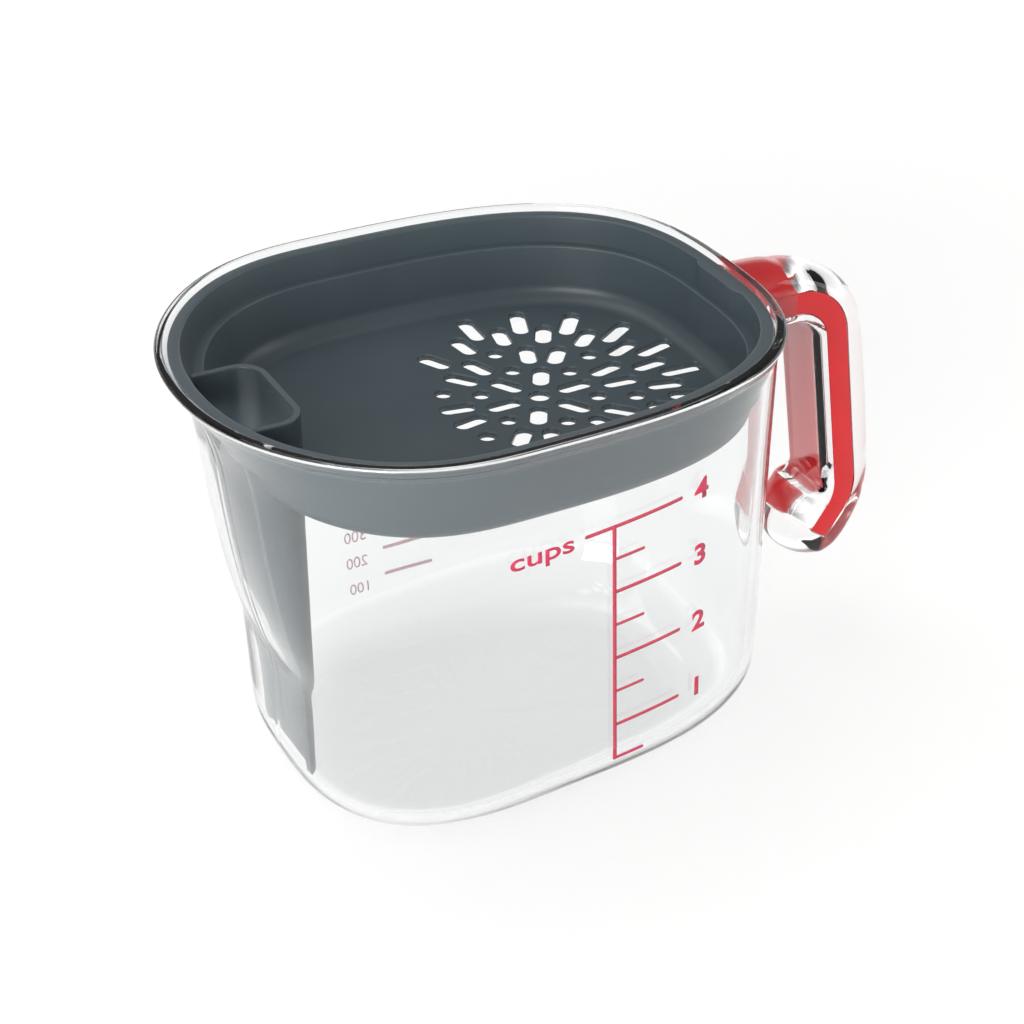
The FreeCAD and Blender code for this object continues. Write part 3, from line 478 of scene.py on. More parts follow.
def gripShell():
    steps = handle["lineSteps"]
    s, line, heading = handleLine(steps)
    hook = math.radians(handle["hook"])
    back = np.array([-math.sin(hook), -math.cos(hook)])
    # past the tip the line runs straight on to the pole of the bulb
    toBulb = line[-1] - np.array(handle["bulb"])
    tipDistance = toBulb @ back
    aside = toBulb @ np.array([math.cos(hook), -math.sin(hook)])
    ball = handle["bulbRadius"]
    beyond = ball * np.sin(np.linspace(math.asin(tipDistance / ball), 0.5 * np.pi, 24)[1:-1])
    s = np.concatenate([s, s[-1] + beyond - tipDistance])
    line = np.concatenate([line, line[-1] + back * (beyond - tipDistance)[:, None]])
    heading = np.concatenate([heading, np.full(len(beyond), heading[-1])])
    share = s / s[steps - 1]
    # u: distance past the middle of the bulb, along the hook
    u = s - s[steps - 1] + tipDistance
    crown = curveThrough(handle["crown"], 200)
    tubeOuter = 0.5 * handle["coreDepth"] + np.interp(share, crown[:, 0], crown[:, 1])
    tubeInner = 0.5 * handle["coreDepth"] + handle["inner"] + 0 * s
    disc = np.sqrt(np.clip(ball ** 2 - u ** 2, 0, None))
    ballOuter, ballInner = disc - aside, disc + aside
    swell = 0.5 * (tubeInner + ballInner
                   + np.sqrt((tubeInner - ballInner) ** 2 + handle["soft"] ** 2))
    inner = np.where(u > -ball, np.maximum(swell, tubeInner), tubeInner)
    inner = between(inner, ballInner, smoothStep(-5, 1, u))
    outer = between(tubeOuter, ballOuter, smoothStep(-9, 1, u))
    middle = handle["lift"] * (1 - smoothStep(-9, 3, u))
    half = np.minimum(handle["halfWidth"], handle["bulbHalf"] / ball * disc)
    half = np.where(u > 0, half, handle["halfWidth"])
    blend, toBall = smoothStep(-12, -2, u), smoothStep(3, 11, u)
    topPower, lowPower = [
        between(between(handle[name], handle["blendPower"], blend), handle["ballPower"], toBall)
        for name in ("crownPower", "innerPower")]
    angle = np.linspace(0, 2 * np.pi, handle["columns"], endpoint=False)
    b, n = sectionRing(angle, half[:, None], (outer - middle)[:, None],
                       (inner + middle)[:, None], topPower[:, None], lowPower[:, None])
    rings = sweep(line, heading, b, n + middle[:, None])
    # the root starts a hair inside the wall, and its cap follows the wall
    first, topZ = rings[0], handle["topZ"]

    def onWall(part):
        y, z = first[:, 1] * part, topZ + (first[:, 2] - topZ) * part
        return np.stack([wallX(y, z, lipOffset(z), True) - handle["rootInset"], y, z], -1)

    shareTopRun(rings, heading, onWall(1.0)[:, 0])
    rings = np.concatenate([[onWall(part) for part in (0.15, 0.35, 0.55, 0.75, 0.9)], rings])
    rootCentre = [wallX(0.0, topZ, 0.0, True) - handle["rootInset"], 0, topZ]
    pole = np.array(handle["bulb"]) + back * ball
    points, faces = cappedTube(rings, rootCentre, [pole[0], 0, pole[1]])
    return makePiece("gripShell", points, faces, "jug", "handle_grip",
                     gripMaterial, 50)


def coreTube(half, grow, inset, skipArm=False):
    # the core's section swept down the line; grow deepens it, inset moves its root inwards
    line, heading = handleLine(handle["coreSteps"])[1:]
    deep = 0.5 * handle["coreDepth"] + grow
    corners = [(half, 0), (half, deep), (-half, deep), (-half, -deep), (half, -deep), (half, 0)]
    b, n = roundedCorners(corners, [handle["coreRound"]] * 4, 5)[:-1].T
    rings = sweep(line, heading, b, n)
    limit = handle["halfWidth"]
    rootX = wallX(np.clip(b, -limit, limit), handle["topZ"] + n, 0.0, True) - inset
    bendStart = shareTopRun(rings, heading, rootX)
    # rounded tip: the section shrinks over the last stretch
    hook = math.radians(handle["hook"])
    back = np.array([-math.sin(hook), 0, -math.cos(hook)])
    tip = np.array([line[-1, 0], 0, line[-1, 1]])
    turn = np.linspace(0, 0.5 * np.pi, 7)[1:-1, None, None]
    ends = tip + (rings[-1] - tip) * (1 - handle["coreTipShrink"] * (1 - np.cos(turn)))
    ends = ends + back * (handle["coreTip"] * (np.sin(turn) - 1) + grow)
    rings[-1] = rings[-1] - back * handle["coreTip"]
    rings = np.concatenate([rings[bendStart if skipArm else 0:], ends])
    return cappedTube(rings, rings[0].mean(0), rings[-1].mean(0))


def coreStrip():
    points, faces = coreTube(handle["halfWidth"] - handle["skin"], 0.0, handle["coreInset"])
    makePiece("coreStrip", points, faces, "jug", "handle_core", redMaterial, 40)


def cutSlot(piece):
    # below the arm the core lies in a slot with a hair of air round it
    points, faces = coreTube(handle["halfWidth"] + 3, handle["slotGap"], 3.0, True)
    mesh = bpy.data.meshes.new("slotTool")
    mesh.from_pydata((points * mm).tolist(), [], [f for g in faces for f in asLists(g)])
    tool = placeObject("slotTool", mesh)
    modifier = piece.modifiers.new("slot", "BOOLEAN")
    modifier.operation, modifier.solver, modifier.object = "DIFFERENCE", "EXACT", tool
    result = evaluatedMesh(piece)
    piece.modifiers.clear()
    bpy.data.objects.remove(tool)
    bpy.data.meshes.remove(mesh)
    result.shade_smooth()
    result.set_sharp_from_angle(angle=math.radians(40))
    piece.data = result


cutSlot(gripShell())
coreStrip()
print("handle made")


# Strainer tray. Ring, band and handle pad are one closed loop swept round the jug. Ledge, lower
# wall, corner and dished floor are a second shell, with a gap where the pour channel stands.

tray = {
    "ringTop": 118.8, "ringLow": 117.2, "ringEdge": -1.2, "bandOut": -3.2, "bandIn": -4.4,
    "bandLow": 105.7, "ledgeZ": 111.3, "ledgeIn": -7.0, "wall": 1.8, "cornerRadius": 4.5,
    "floorEdgeZ": 95.7, "dishZ": 93.9, "cornerStop": 82.0, "padY": -4.7, "padHalf": 9.4,
    # the pad fades out over padEase at its sides and padRise at its foot
    "padThick": 1.5, "padEase": (-0.4, 1.0), "padRise": (-1.5, -0.3),
    "loopRound": (0.2, 0.3, 0.2, 0.45, 0.45, 0.2), "ledgeRound": 0.5, "underRound": 0.8,
    "overlap": 0.3, "columns": 256, "holeEdge": 0.45,
    # triangles of the floor: grid pitch, its jitter, and the room left at edges and holes
    "pitch": 2.4, "jitter": 0.35, "edgeRoom": 1.0, "holeRoom": 0.7, "armRoom": 0.25,
}
sieve = {
    "x": 14.0, "hole": 5.3, "dot": 4.25, "slotLength": 9.3, "outerSlot": 11.4,
    "slotWidth": 4.3, "rows": (10.2, 15.0, 21.9, 24.8, 32.6, 38.8),
}
channel = {
    "halfWidth": 16.8, "faceX": -56.1, "wall": 1.8, "corner": 7.5,
    # heights of the rows as (from, to, count), and where the sleeve steps in below the band
    "rows": ((9.0, 9.3, 2), (10, 104.5, 40), (105.4, 105.9, 3), (107, 113.2, 6),
             (113.8, 114.1, 2)),
    "stepZ": 105.65, "topEase": 0.4, "topRound": 0.12,
}
floorThick = tray["wall"] / math.sin(math.radians(tray["cornerStop"]))


def trayRing():
    turns = np.linspace(0, 2 * np.pi, jug["columns"], endpoint=False)
    edge, out, inner = tray["ringEdge"], tray["bandOut"], tray["bandIn"]
    high, seat, low = tray["ringTop"], tray["ringLow"], tray["bandLow"]
    start = 0.5 * (out + inner)
    loop = roundedCorners([
        (start, low), (out, low), (out, seat), (edge, seat), (edge, high), (inner, high),
        (inner, low), (start, low)], tray["loopRound"], 6)[:-1]
    offset, z = loop[:, :1] + 0 * turns, loop[:, 1:] + 0 * turns
    plain = wallPoint(turns, z, offset)
    # the pad stands in from the band's inner face, over the ledge only
    aside = np.abs(plain[..., 1] - tray["padY"]) - tray["padHalf"]
    pad = (1 - smoothStep(*tray["padEase"], aside)) * smoothStep(*tray["padRise"],
                                                                 z - tray["ledgeZ"])
    pad = pad * (plain[..., 0] > 0) * (offset < start - 0.05)
    rings = wallPoint(turns, z, offset - tray["padThick"] * pad)
    return rings.reshape(-1, 3), [gridFaces(len(loop), len(turns), wrapRows=True)]


def tongueDistance(x, y):
    # signed distance to the channel's outline in plan, a tongue with two round corners
    across = x - (channel["faceX"] - channel["corner"])
    along = np.abs(y) - (channel["halfWidth"] - channel["corner"])
    outside = np.hypot(np.maximum(across, 0), np.maximum(along, 0))
    return outside + np.minimum(np.maximum(across, along), 0) - channel["corner"]


def stationLine(z, offset, count):
    # outline from one side of the channel round the handle end to the other side
    dense = np.linspace(0.55 * np.pi, np.pi, 900)
    line = wallPoint(dense, z, offset)
    distance = tongueDistance(line[:, 0], line[:, 1])
    end = np.interp(0, -distance, dense)
    turns = end * np.linspace(1, -1, count)
    return wallPoint(turns, z, offset)


def edgeReach(x, y, edge):
    # how far the floor's edge is from the middle, in the direction of x, y
    angle = np.arctan2(edge[:, 1], edge[:, 0])
    order = np.argsort(angle)
    return np.interp(np.arctan2(y, x), angle[order], np.hypot(*edge[order, :2].T),
                     period=2 * np.pi)


def dished(xy, edge, drop=0.0):
    # z = dish + rise * rho^2, rho = 1 on the floor's edge
    rho = np.hypot(*xy.T) / edgeReach(*xy.T, edge)
    rise = (edge[0, 2] - tray["dishZ"]) * np.clip(rho, 0, 1.05) ** 2
    return np.column_stack([xy, tray["dishZ"] + rise - drop])


def holeShapes():
    # centre, turn, half length of the straight part and radius of every hole
    rowA, rowB, rowC, rowD, rowE, rowF = sieve["rows"]
    straight = 0.5 * (sieve["slotLength"] - sieve["slotWidth"])
    side, dot = 0.5 * sieve["slotWidth"], 0.5 * sieve["dot"]
    found = [(0.0, 0.0, 0.0, 0.5 * sieve["hole"])]
    for sixth in range(0, 360, 60):
        found += [(rowA, sixth, straight, side), (rowB, sixth + 30, 0.0, dot),
                  (rowC, sixth - 10, straight, side), (rowC, sixth + 10, straight, side),
                  (rowD, sixth + 30, 0.0, dot)]
    found += [(rowE, degrees, straight, side) for degrees in range(-120, 121, 20)]
    longer = 0.5 * (sieve["outerSlot"] - sieve["slotWidth"])
    found += [(rowF, degrees, longer, side) for degrees in range(-90, 91, 20)]
    return np.array(found, float)


def holeRing(shape, grow, count=40):
    # stadium outline: straight sides and half-round ends, moved out by grow
    radius, degrees, straight, side = shape
    angle = np.linspace(0, 2 * np.pi, count, endpoint=False) + np.pi / count
    along = (side + grow) * np.cos(angle) + straight * np.sign(np.cos(angle)) + radius
    across = (side + grow) * np.sin(angle)
    turn = math.radians(degrees)
    return np.stack([sieve["x"] + along * math.cos(turn) - across * math.sin(turn),
                     along * math.sin(turn) + across * math.cos(turn)], -1)


def insideHole(xy, shape, grow):
    radius, degrees, straight, side = shape
    turn = math.radians(degrees)
    x, y = xy[:, 0] - sieve["x"], xy[:, 1]
    along = x * math.cos(turn) + y * math.sin(turn) - radius
    across = y * math.cos(turn) - x * math.sin(turn)
    return np.hypot(np.maximum(np.abs(along) - straight, 0), across) < side + grow


def bowlStrip():
    # ledge, lower wall and corner, down to the floor's edge inside and back up outside
    wall, radius = tray["wall"], tray["cornerRadius"]
    ledge, inner, low = tray["ledgeZ"], tray["ledgeIn"], tray["bandLow"]
    outer = tray["bandIn"] + tray["overlap"]
    down = np.linspace(0, math.radians(tray["cornerStop"]), 9)

    def arc(r):
        return np.stack([inner - radius + r * np.cos(down),
                         tray["floorEdgeZ"] + radius - r * np.sin(down)], -1)

    inArc, outArc = arc(radius), arc(radius + wall)[::-1]
    upper = roundedCorners([(outer, ledge), (inner, ledge), inArc[0]],
                           (tray["ledgeRound"],), 6)
    lower = roundedCorners([outArc[-1], (inner + wall, low), (outer, low)],
                           (tray["underRound"],), 5)
    count = tray["columns"]

    def stations(profile):
        return np.array([stationLine(z, offset, count) for offset, z in profile])

    top = stations(np.concatenate([upper[:-1], inArc]))
    edge = top[-1]
    # the floor's edge below is the edge above, straight down
    bottom = np.concatenate([[edge - [0, 0, floorThick]],
                             stations(np.concatenate([outArc[1:], lower[1:]]))])
    rowsTop, rowsBottom = len(top), len(bottom)
    firstBottom = rowsTop * count
    faces = [gridFaces(rowsTop, count, wrapColumns=False)[:, ::-1],
             gridFaces(rowsBottom, count, wrapColumns=False, first=firstBottom)[:, ::-1]]
    # back of the ledge, between the last row below and the first row above
    firstRow = np.arange(count)
    lastRow = firstRow + firstBottom + (rowsBottom - 1) * count
    faces.append(np.stack([lastRow[:-1], lastRow[1:], firstRow[1:], firstRow[:-1]], -1)[:, ::-1])
    # end faces beside the channel
    down = np.concatenate([np.arange(rowsTop) * count,
                           firstBottom + np.arange(rowsBottom) * count])
    faces.append([down.tolist(), (down + count - 1)[::-1].tolist()])
    return (np.concatenate([top, bottom]).reshape(-1, 3), faces), edge


def tongueFace(edge):
    # the channel's outline in plan, from one end of the floor's edge to the other
    corner, half = channel["corner"], channel["halfWidth"]
    sweep = np.linspace(-0.5 * np.pi, 0.5 * np.pi, 41)
    cornerY = np.where(sweep > 0, half - corner, corner - half)
    face = np.stack([channel["faceX"] - corner + corner * np.cos(sweep),
                     cornerY + corner * np.sin(sweep)], -1)
    return face[np.abs(face[:, 1]) < np.abs(edge[0, 1]) - tray["armRoom"]]


def floorPlan(edge, crossing, shapes):
    # triangles in plan between the floor's edge, the channel and the holes
    grow, pitch, jitter = tray["holeEdge"], tray["pitch"], tray["jitter"]
    x, y = np.meshgrid(np.arange(-62, 66, pitch), np.arange(-56, 57, pitch), indexing="ij")
    seeds = np.stack([x.ravel(), y.ravel()], -1)
    seeds += np.random.default_rng(4).uniform(-jitter, jitter, seeds.shape)

    def onFloor(xy, edgeRoom, holeRoom):
        keep = np.hypot(*xy.T) < edgeReach(*xy.T, edge) - edgeRoom
        keep &= tongueDistance(*xy.T) > edgeRoom
        for shape in shapes:
            keep &= ~insideHole(xy, shape, grow + holeRoom)
        return keep

    seeds = seeds[onFloor(seeds, tray["edgeRoom"], tray["holeRoom"])]
    loops = [np.concatenate([edge[:, :2], crossing])]
    loops += [holeRing(shape, grow) for shape in shapes]
    edges, start = [], 0
    for loop in loops:
        index = np.arange(len(loop)) + start
        edges.append(np.stack([index, np.roll(index, -1)], -1))
        start += len(loop)
    plan = np.concatenate(loops + [seeds]).tolist()
    found = delaunay_2d_cdt([Vector(p) for p in plan], np.concatenate(edges).tolist(), [], 0,
                            1e-5)
    flat = np.array([list(p) for p in found[0]])
    triangles = np.array([list(f) for f in found[2]])
    triangles = triangles[onFloor(flat[triangles].mean(1), 0.0, -0.02)]
    area = np.cross(flat[triangles[:, 1]] - flat[triangles[:, 0]],
                    flat[triangles[:, 2]] - flat[triangles[:, 0]])
    triangles[area < 0] = triangles[area < 0][:, ::-1]
    return flat, triangles


def trayBowl():
    strip, edge = bowlStrip()
    crossing, shapes, grow = tongueFace(edge), holeShapes(), tray["holeEdge"]
    flat, triangles = floorPlan(edge, crossing, shapes)
    floors = np.concatenate([dished(flat, edge), dished(flat, edge, floorThick)])
    # wall of the floor along the channel
    across = np.concatenate([edge[-1:, :2], crossing, edge[:1, :2]])
    wallTop = dished(across, edge)
    side = np.concatenate([wallTop, wallTop - [0, 0, floorThick]])
    parts = [strip, (floors, [triangles, triangles[:, ::-1] + len(flat)]),
             (side, [gridFaces(2, len(across), wrapColumns=False)])]
    # rounded edges of the holes
    bend = np.linspace(0, 0.5 * np.pi, 5)
    outs = np.concatenate([grow * (1 - np.sin(bend)), grow * (1 - np.cos(bend))])
    drops = np.concatenate([grow * (1 - np.cos(bend)), floorThick - grow * (1 - np.sin(bend))])
    for shape in shapes:
        rings = np.array([dished(holeRing(shape, out), edge, drop)
                          for out, drop in zip(outs, drops)])
        parts.append((rings.reshape(-1, 3), [gridFaces(*rings.shape[:2])]))
    return joined(parts)


def trayShell():
    points, faces = joined([trayRing(), trayBowl()])
    makePiece("trayShell", points, faces, "strainer", "strainer_tray",
              greyMaterial, 42)


def channelSleeve():
    # a U in plan, carried up the jug; its two arms end at the nose wall
    corner, half = channel["corner"], channel["halfWidth"]
    z = np.concatenate([np.linspace(*rows) for rows in channel["rows"]])
    reachIn = np.where(z < channel["stepZ"], tray["bandOut"], tray["bandIn"])

    def outline(inset):
        # half of the tongue in plan, from the middle of its face to far beyond the wall
        r, h = corner - inset, half - inset
        sweep = np.linspace(0, 0.5 * np.pi, 40)
        bend = np.stack([channel["faceX"] - corner + r * np.cos(sweep),
                         h - r + r * np.sin(sweep)], -1)
        flat = np.stack([np.full(20, bend[0, 0]), np.linspace(0, bend[0, 1], 20)], -1)
        arm = np.stack([np.linspace(bend[-1, 0], -95, 160), np.full(160, h)], -1)
        path = np.concatenate([flat[:-1], bend[:-1], arm])
        length = np.concatenate([[0], np.cumsum(np.hypot(*np.diff(path, axis=0).T))])
        # at each height it stops where it meets the wall
        beyond = path[:, 0] - wallX(path[:, 1], z[:, None], reachIn[:, None], False)
        after = np.argmax(beyond < 0, axis=1)
        row = np.arange(len(z))
        share = beyond[row, after - 1] / (beyond[row, after - 1] - beyond[row, after])
        stop = length[after - 1] + share * (length[after] - length[after - 1])
        at = stop[:, None] * np.linspace(0, 1, 46) ** 0.9
        x, y = np.interp(at, length, path[:, 0]), np.interp(at, length, path[:, 1])
        x = np.concatenate([x[:, :0:-1], x], 1)
        y = np.concatenate([y[:, :0:-1], -y], 1)
        return np.stack([x, y, np.tile(z[:, None], (1, x.shape[1]))], -1)

    outside, inside = outline(0.0), outline(channel["wall"])
    across = outside.shape[1]
    loop = np.concatenate([outside, inside[:, ::-1]], 1)
    # the top edge is eased a little towards the middle of the wall
    middleTop = 0.5 * (outside[-1] + inside[-1])
    closing = np.concatenate([middleTop, middleTop[::-1]])
    near = loop[-1] + (closing - loop[-1]) * 0.22
    loop[-2:] -= [0, 0, channel["topEase"]]
    softer = loop[-1] + (near - loop[-1]) * 0.35
    near[:, 2], softer[:, 2] = z[-1], z[-1] - channel["topRound"]
    rings = np.concatenate([loop, [softer], [near]])
    count, columns = len(rings), loop.shape[1]
    faces = [gridFaces(count, columns)[:, ::-1]]
    i = np.arange(across - 1)
    last = (count - 1) * columns
    faces.append(np.stack([last + i, last + i + 1, last + columns - 2 - i,
                           last + columns - 1 - i], -1))
    faces.append(np.stack([i, i + 1, columns - 2 - i, columns - 1 - i], -1)[:, ::-1])
    makePiece("channelSleeve", rings, faces, "strainer", "pour_channel",
              greyMaterial, 42)


trayShell()
channelSleeve()
print("strainer made")


# Printed scales: the cups on the near wall, the millilitres on the far one.

cups = {
    "foot": (8.8, 14.1), "tilt": 5.0, "step": 12.0, "shrink": 0.15, "marks": 8,
    "tick": 19.2, "halfTick": 8.2, "back": 7.5, "line": 1.1, "digit": 5.9, "digitGap": 6.4,
    "word": "cups", "wordHeight": 5.0, "wordWidth": 16.8, "wordMiddle": -19.3,
}
litres = {
    "pitch": 8.4, "first": 17.5, "count": 9, "tickX": (-8.5, 6.0), "line": 1.0, "digit": 3.4,
    "digitX": -17.4, "digitDrop": 2.4, "unitZ": 90.6,
}
inkThick, inkSink = 0.13, 0.02


def barMesh(startX, startZ, endX, endZ, width):
    # flat bar with half-round ends in the (x, z) plane, from one end's middle to the other's;
    # the ends stop just short of a point
    start, half = np.array([startX, startZ]), 0.5 * width
    span = np.array([endX, endZ]) - start
    length = np.linalg.norm(span)
    along = span / length
    across = np.array([-along[1], along[0]])
    reach = np.concatenate([-half * np.cos(np.linspace(0.12, 0.5 * np.pi, 7)),
                            np.linspace(0, length, max(int(length / 1.5), 2) + 1)[1:-1],
                            length + half * np.sin(np.linspace(0, 0.5 * np.pi - 0.12, 7))])
    past = np.maximum(np.maximum(-reach, reach - length), 0)
    wide = np.sqrt(np.maximum(half ** 2 - past ** 2, 0))
    sides = np.array([-1, 0, 1])
    flat = start + reach[:, None, None] * along + (wide[:, None] * sides)[..., None] * across
    return flat.reshape(-1, 2), gridFaces(len(reach), 3, wrapColumns=False)


def textMesh(body, height, centreX, centreZ, mirrored=False, width=None, bold=0.0):
    # words from Blender's own font, as a flat mesh scaled to a height in millimetres
    letters = bpy.data.curves.new("letters", "FONT")
    letters.body, letters.resolution_u, letters.offset = body, 6, bold
    writer = placeObject("letters", letters)
    mesh = evaluatedMesh(writer)
    bpy.data.objects.remove(writer)
    flat = np.zeros(len(mesh.vertices) * 3)
    mesh.vertices.foreach_get("co", flat)
    flat = flat.reshape(-1, 3)[:, :2]
    faces = [list(p.vertices) for p in mesh.polygons]
    bpy.data.meshes.remove(mesh)
    capHeight = 0.70
    scale = height / capHeight
    low, high = flat.min(0), flat.max(0)
    stretch = scale if width is None else width / (high[0] - low[0])
    flat = (flat - [(low[0] + high[0]) / 2, 0.5 * capHeight]) * [stretch, scale]
    if mirrored:
        flat[:, 0] *= -1
        faces = [face[::-1] for face in faces]
    return flat + [centreX, centreZ], faces


def printOnWall(name, parts, side, body, node, material):
    # flat (x, z) shapes laid on the side wall, then given their thickness outwards
    flat, faces = joined([(points, [partFaces]) for points, partFaces in parts])
    y = side * (wallY(flat[:, 0], flat[:, 1], 0.0) - inkSink)
    solid = np.column_stack([flat[:, 0], y, flat[:, 1]])
    piece = makePiece(name, solid, faces, body, node, material, 30)
    modifier = piece.modifiers.new("thickness", "SOLIDIFY")
    modifier.thickness, modifier.offset = inkThick * mm, 1.0


def tilted(shape):
    # the cup scale stands a little askew about its foot, as its marks are laid on a taper
    flat, faces = shape
    turn = math.radians(cups["tilt"])
    across, up = flat[:, 0], flat[:, 1]
    x = cups["foot"][0] + across * math.cos(turn) - up * math.sin(turn)
    return np.column_stack([x, cups["foot"][1] + across * math.sin(turn)
                            + up * math.cos(turn)]), faces


def cupsPrint():
    # mark n stands at step n - shrink n^2 up the line: equal volumes in a widening jug
    number = np.arange(cups["marks"])
    marks = cups["step"] * number - cups["shrink"] * number ** 2
    parts = [barMesh(0, 0, 0, marks[-1], cups["line"])]
    for n, up in enumerate(marks):
        whole = n % 2 == 1
        near = -cups["back"] if n == cups["marks"] - 1 else 0
        far = cups["tick"] if whole else cups["halfTick"]
        parts.append(barMesh(near, up, far, up, cups["line"] * (1.0 if whole else 0.85)))
        if whole:
            parts.append(textMesh(str((n + 1) // 2), cups["digit"],
                                  cups["tick"] + cups["digitGap"], up, bold=0.03))
    parts.append(textMesh(cups["word"], cups["wordHeight"], cups["wordMiddle"], marks[-1],
                          width=cups["wordWidth"], bold=0.012))
    printOnWall("cupsPrint", [tilted(part) for part in parts], -1, "jug", "cups_scale",
                inkMaterial)


def millilitrePrint():
    parts = []
    for i in range(litres["count"]):
        z = litres["first"] + i * litres["pitch"]
        parts.append(barMesh(litres["tickX"][0], z, litres["tickX"][1], z, litres["line"]))
        parts.append(textMesh(str(100 * (i + 1)), litres["digit"], litres["digitX"],
                              z - litres["digitDrop"], True))
    parts.append(textMesh("mL", litres["digit"], litres["digitX"], litres["unitZ"], True))
    parts = [(flat, [face[::-1] for face in asLists(f)]) for flat, f in parts]
    # the far scale gets the paler ink, painted haze for its look through two walls
    printOnWall("millilitrePrint", parts, 1, "jug", "millilitre_scale", paintedPaleInkMaterial)


cupsPrint()
millilitrePrint()
print("printed scales made")


# Floor, light and camera.

studio = {
    "floorSize": 6.0, "floorColour": "#F4F4F3", "floorWhite": 0.5, "floorThrough": 0.08,
    "floorGlow": 1.15, "shadowReach": (0.35, 0.875),
    # light on matt surfaces, what mirrored rays meet and between which heights it dims, and
    # the dimming by the number of surfaces crossed
    "ambient": 0.5, "horizon": 1.5, "dimRoom": 0.25, "dim": (0.1, 0.4),
    "fade": (4.0, 11.0), "edgeLight": 0.3,
    # name: (place in metres, aimed at the jug, width, height, watts)
    "lamps": {
        "topSoftbox": ((-0.25, 0.35, 1.15), 1.1, 0.9, 5.0),
        "leftSoftbox": ((-1.0, -0.85, 0.45), 0.8, 0.9, 16.0),
        "rightStrip": ((1.05, -0.45, 0.55), 0.35, 1.0, 2.4),
    },
    "aim": (0.0, 0.0, 0.06),
    "azimuth": -27.78455, "elevation": 31.82132, "distance": 0.713053,
    "target": (0.051847, 0.087163, 0.0), "lens": 80.0,
}


def whiteness(tree, seen, crossed):
    # how much of the plain white a ray meets: seen by camera and glossy rays, crossed by rays
    # that came through the plastic, nothing once the ray has left a matt surface
    rays = addNode(tree, "ShaderNodeLightPath").outputs
    first = maths(tree, "MAXIMUM", rays["Is Camera Ray"], rays["Is Glossy Ray"])
    through = maths(tree, "MULTIPLY", rays["Is Transmission Ray"], crossed)
    both = maths(tree, "MULTIPLY_ADD", first, seen, through)
    return maths(tree, "MULTIPLY", both, maths(tree, "LESS_THAN", rays["Diffuse Depth"], 0.5))


def ramp(tree, value, fromLow, fromHigh, toLow, toHigh):
    return addNode(tree, "ShaderNodeMapRange",
                   {"From Min": fromLow, "From Max": fromHigh, "To Min": toLow,
                    "To Max": toHigh}, {"Value": value}).outputs["Result"]


def fade(tree):
    # light that has crossed many surfaces, as at rims and bends, comes from darker parts of
    # the room: 1 down to edgeLight as the number of crossings grows
    rays = addNode(tree, "ShaderNodeLightPath")
    return ramp(tree, rays.outputs["Ray Depth"], *studio["fade"], 1.0, studio["edgeLight"])


def makeFloor():
    half = 0.5 * studio["floorSize"]
    mesh = bpy.data.meshes.new("studioFloor")
    mesh.from_pydata([(-half, -half, 0), (half, -half, 0), (half, half, 0), (-half, half, 0)],
                     [], [(0, 1, 2, 3)])
    floor = placeObject("studioFloor", mesh)
    material, tree = newMaterial("paleFloor")
    matt = addNode(tree, "ShaderNodeBsdfDiffuse", {"Color": colour(studio["floorColour"])})
    white = addNode(tree, "ShaderNodeEmission", {"Color": (1, 1, 1, 1)},
                    {"Strength": maths(tree, "MULTIPLY", fade(tree), studio["floorGlow"])})
    # away from the jug the floor turns plain white
    place = addNode(tree, "ShaderNodeTexCoord")
    away = addNode(tree, "ShaderNodeVectorMath", {"operation": "LENGTH"},
                   {0: place.outputs["Object"]})
    clear = ramp(tree, away.outputs["Value"], *studio["shadowReach"],
                 1.0, 1 / studio["floorWhite"])
    share = whiteness(tree, studio["floorWhite"], studio["floorThrough"])
    surface(tree, "ShaderNodeMixShader", {},
            {0: maths(tree, "MULTIPLY", share, clear), 1: matt.outputs["BSDF"],
             2: white.outputs["Emission"]})
    mesh.materials.append(material)


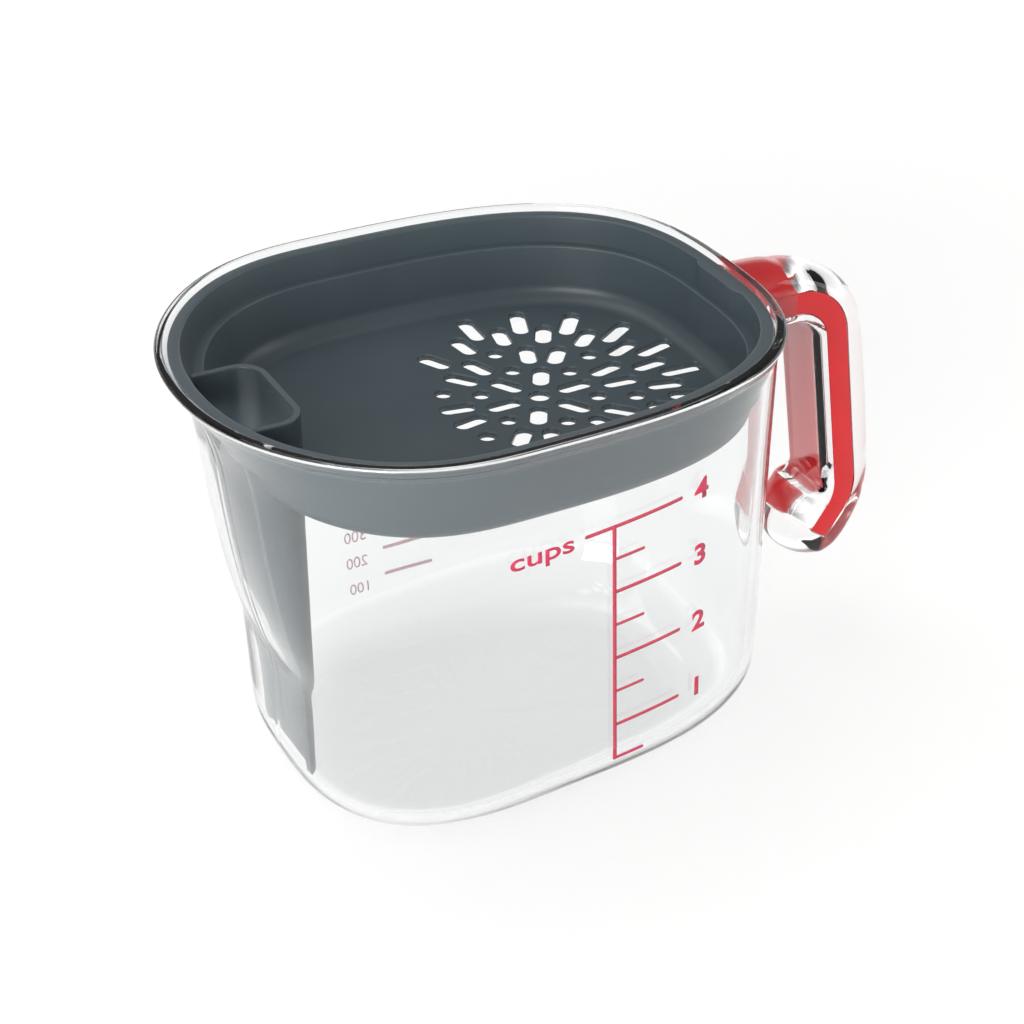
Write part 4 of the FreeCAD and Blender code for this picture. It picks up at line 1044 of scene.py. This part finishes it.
def makeWorld():
    world = bpy.data.worlds.new("studioWorld")
    bpy.context.scene.world = world
    world.use_nodes = True
    tree = world.node_tree
    tree.nodes.clear()
    strength = addNode(tree, "ShaderNodeMapRange", {"To Min": studio["ambient"]},
                       {"Value": whiteness(tree, 1.0, 1.0), "To Max": fade(tree)})
    # mirrored rays meet a bright horizon and a dim room above it
    place = addNode(tree, "ShaderNodeTexCoord")
    axes = addNode(tree, "ShaderNodeSeparateXYZ", {}, {"Vector": place.outputs["Generated"]})
    room = ramp(tree, axes.outputs["Z"], *studio["dim"], studio["horizon"], studio["dimRoom"])
    rays = addNode(tree, "ShaderNodeLightPath")
    shown = addNode(tree, "ShaderNodeMix", {"data_type": "FLOAT"},
                    {0: rays.outputs["Is Glossy Ray"], 2: strength.outputs["Result"], 3: room})
    back = addNode(tree, "ShaderNodeBackground", {"Color": (1, 1, 1, 1)},
                   {"Strength": shown.outputs[0]})
    output = addNode(tree, "ShaderNodeOutputWorld")
    tree.links.new(back.outputs["Background"], output.inputs["Surface"])


def makeLamps():
    aim = Vector(studio["aim"])
    for name, (place, width, height, watts) in studio["lamps"].items():
        lamp = bpy.data.lights.new(name, "AREA")
        lamp.shape, lamp.size, lamp.size_y, lamp.energy = "RECTANGLE", width, height, watts
        holder = placeObject(name, lamp)
        holder.location = place
        holder.rotation_euler = (aim - Vector(place)).to_track_quat("-Z", "Y").to_euler()


def makeCamera():
    a, e = math.radians(studio["azimuth"]), math.radians(studio["elevation"])
    back = Vector((math.sin(a) * math.cos(e), -math.cos(a) * math.cos(e), math.sin(e)))
    right = Vector((math.cos(a), math.sin(a), 0))
    up = back.cross(right)
    place = Vector(studio["target"]) + studio["distance"] * back
    lens = bpy.data.cameras.new("studioCamera")
    lens.lens, lens.sensor_width, lens.sensor_fit = studio["lens"], 36.0, "AUTO"
    lens.clip_start, lens.clip_end = 0.01, 50.0
    camera = placeObject("studioCamera", lens)
    turned = Matrix((right, up, back)).transposed().to_4x4()
    camera.matrix_world = Matrix.Translation(place) @ turned
    bpy.context.scene.camera = camera


makeFloor()
makeWorld()
makeLamps()
makeCamera()
bpy.context.scene.view_settings.view_transform = "Standard"
print("studio made")

bpy.context.view_layer.update()
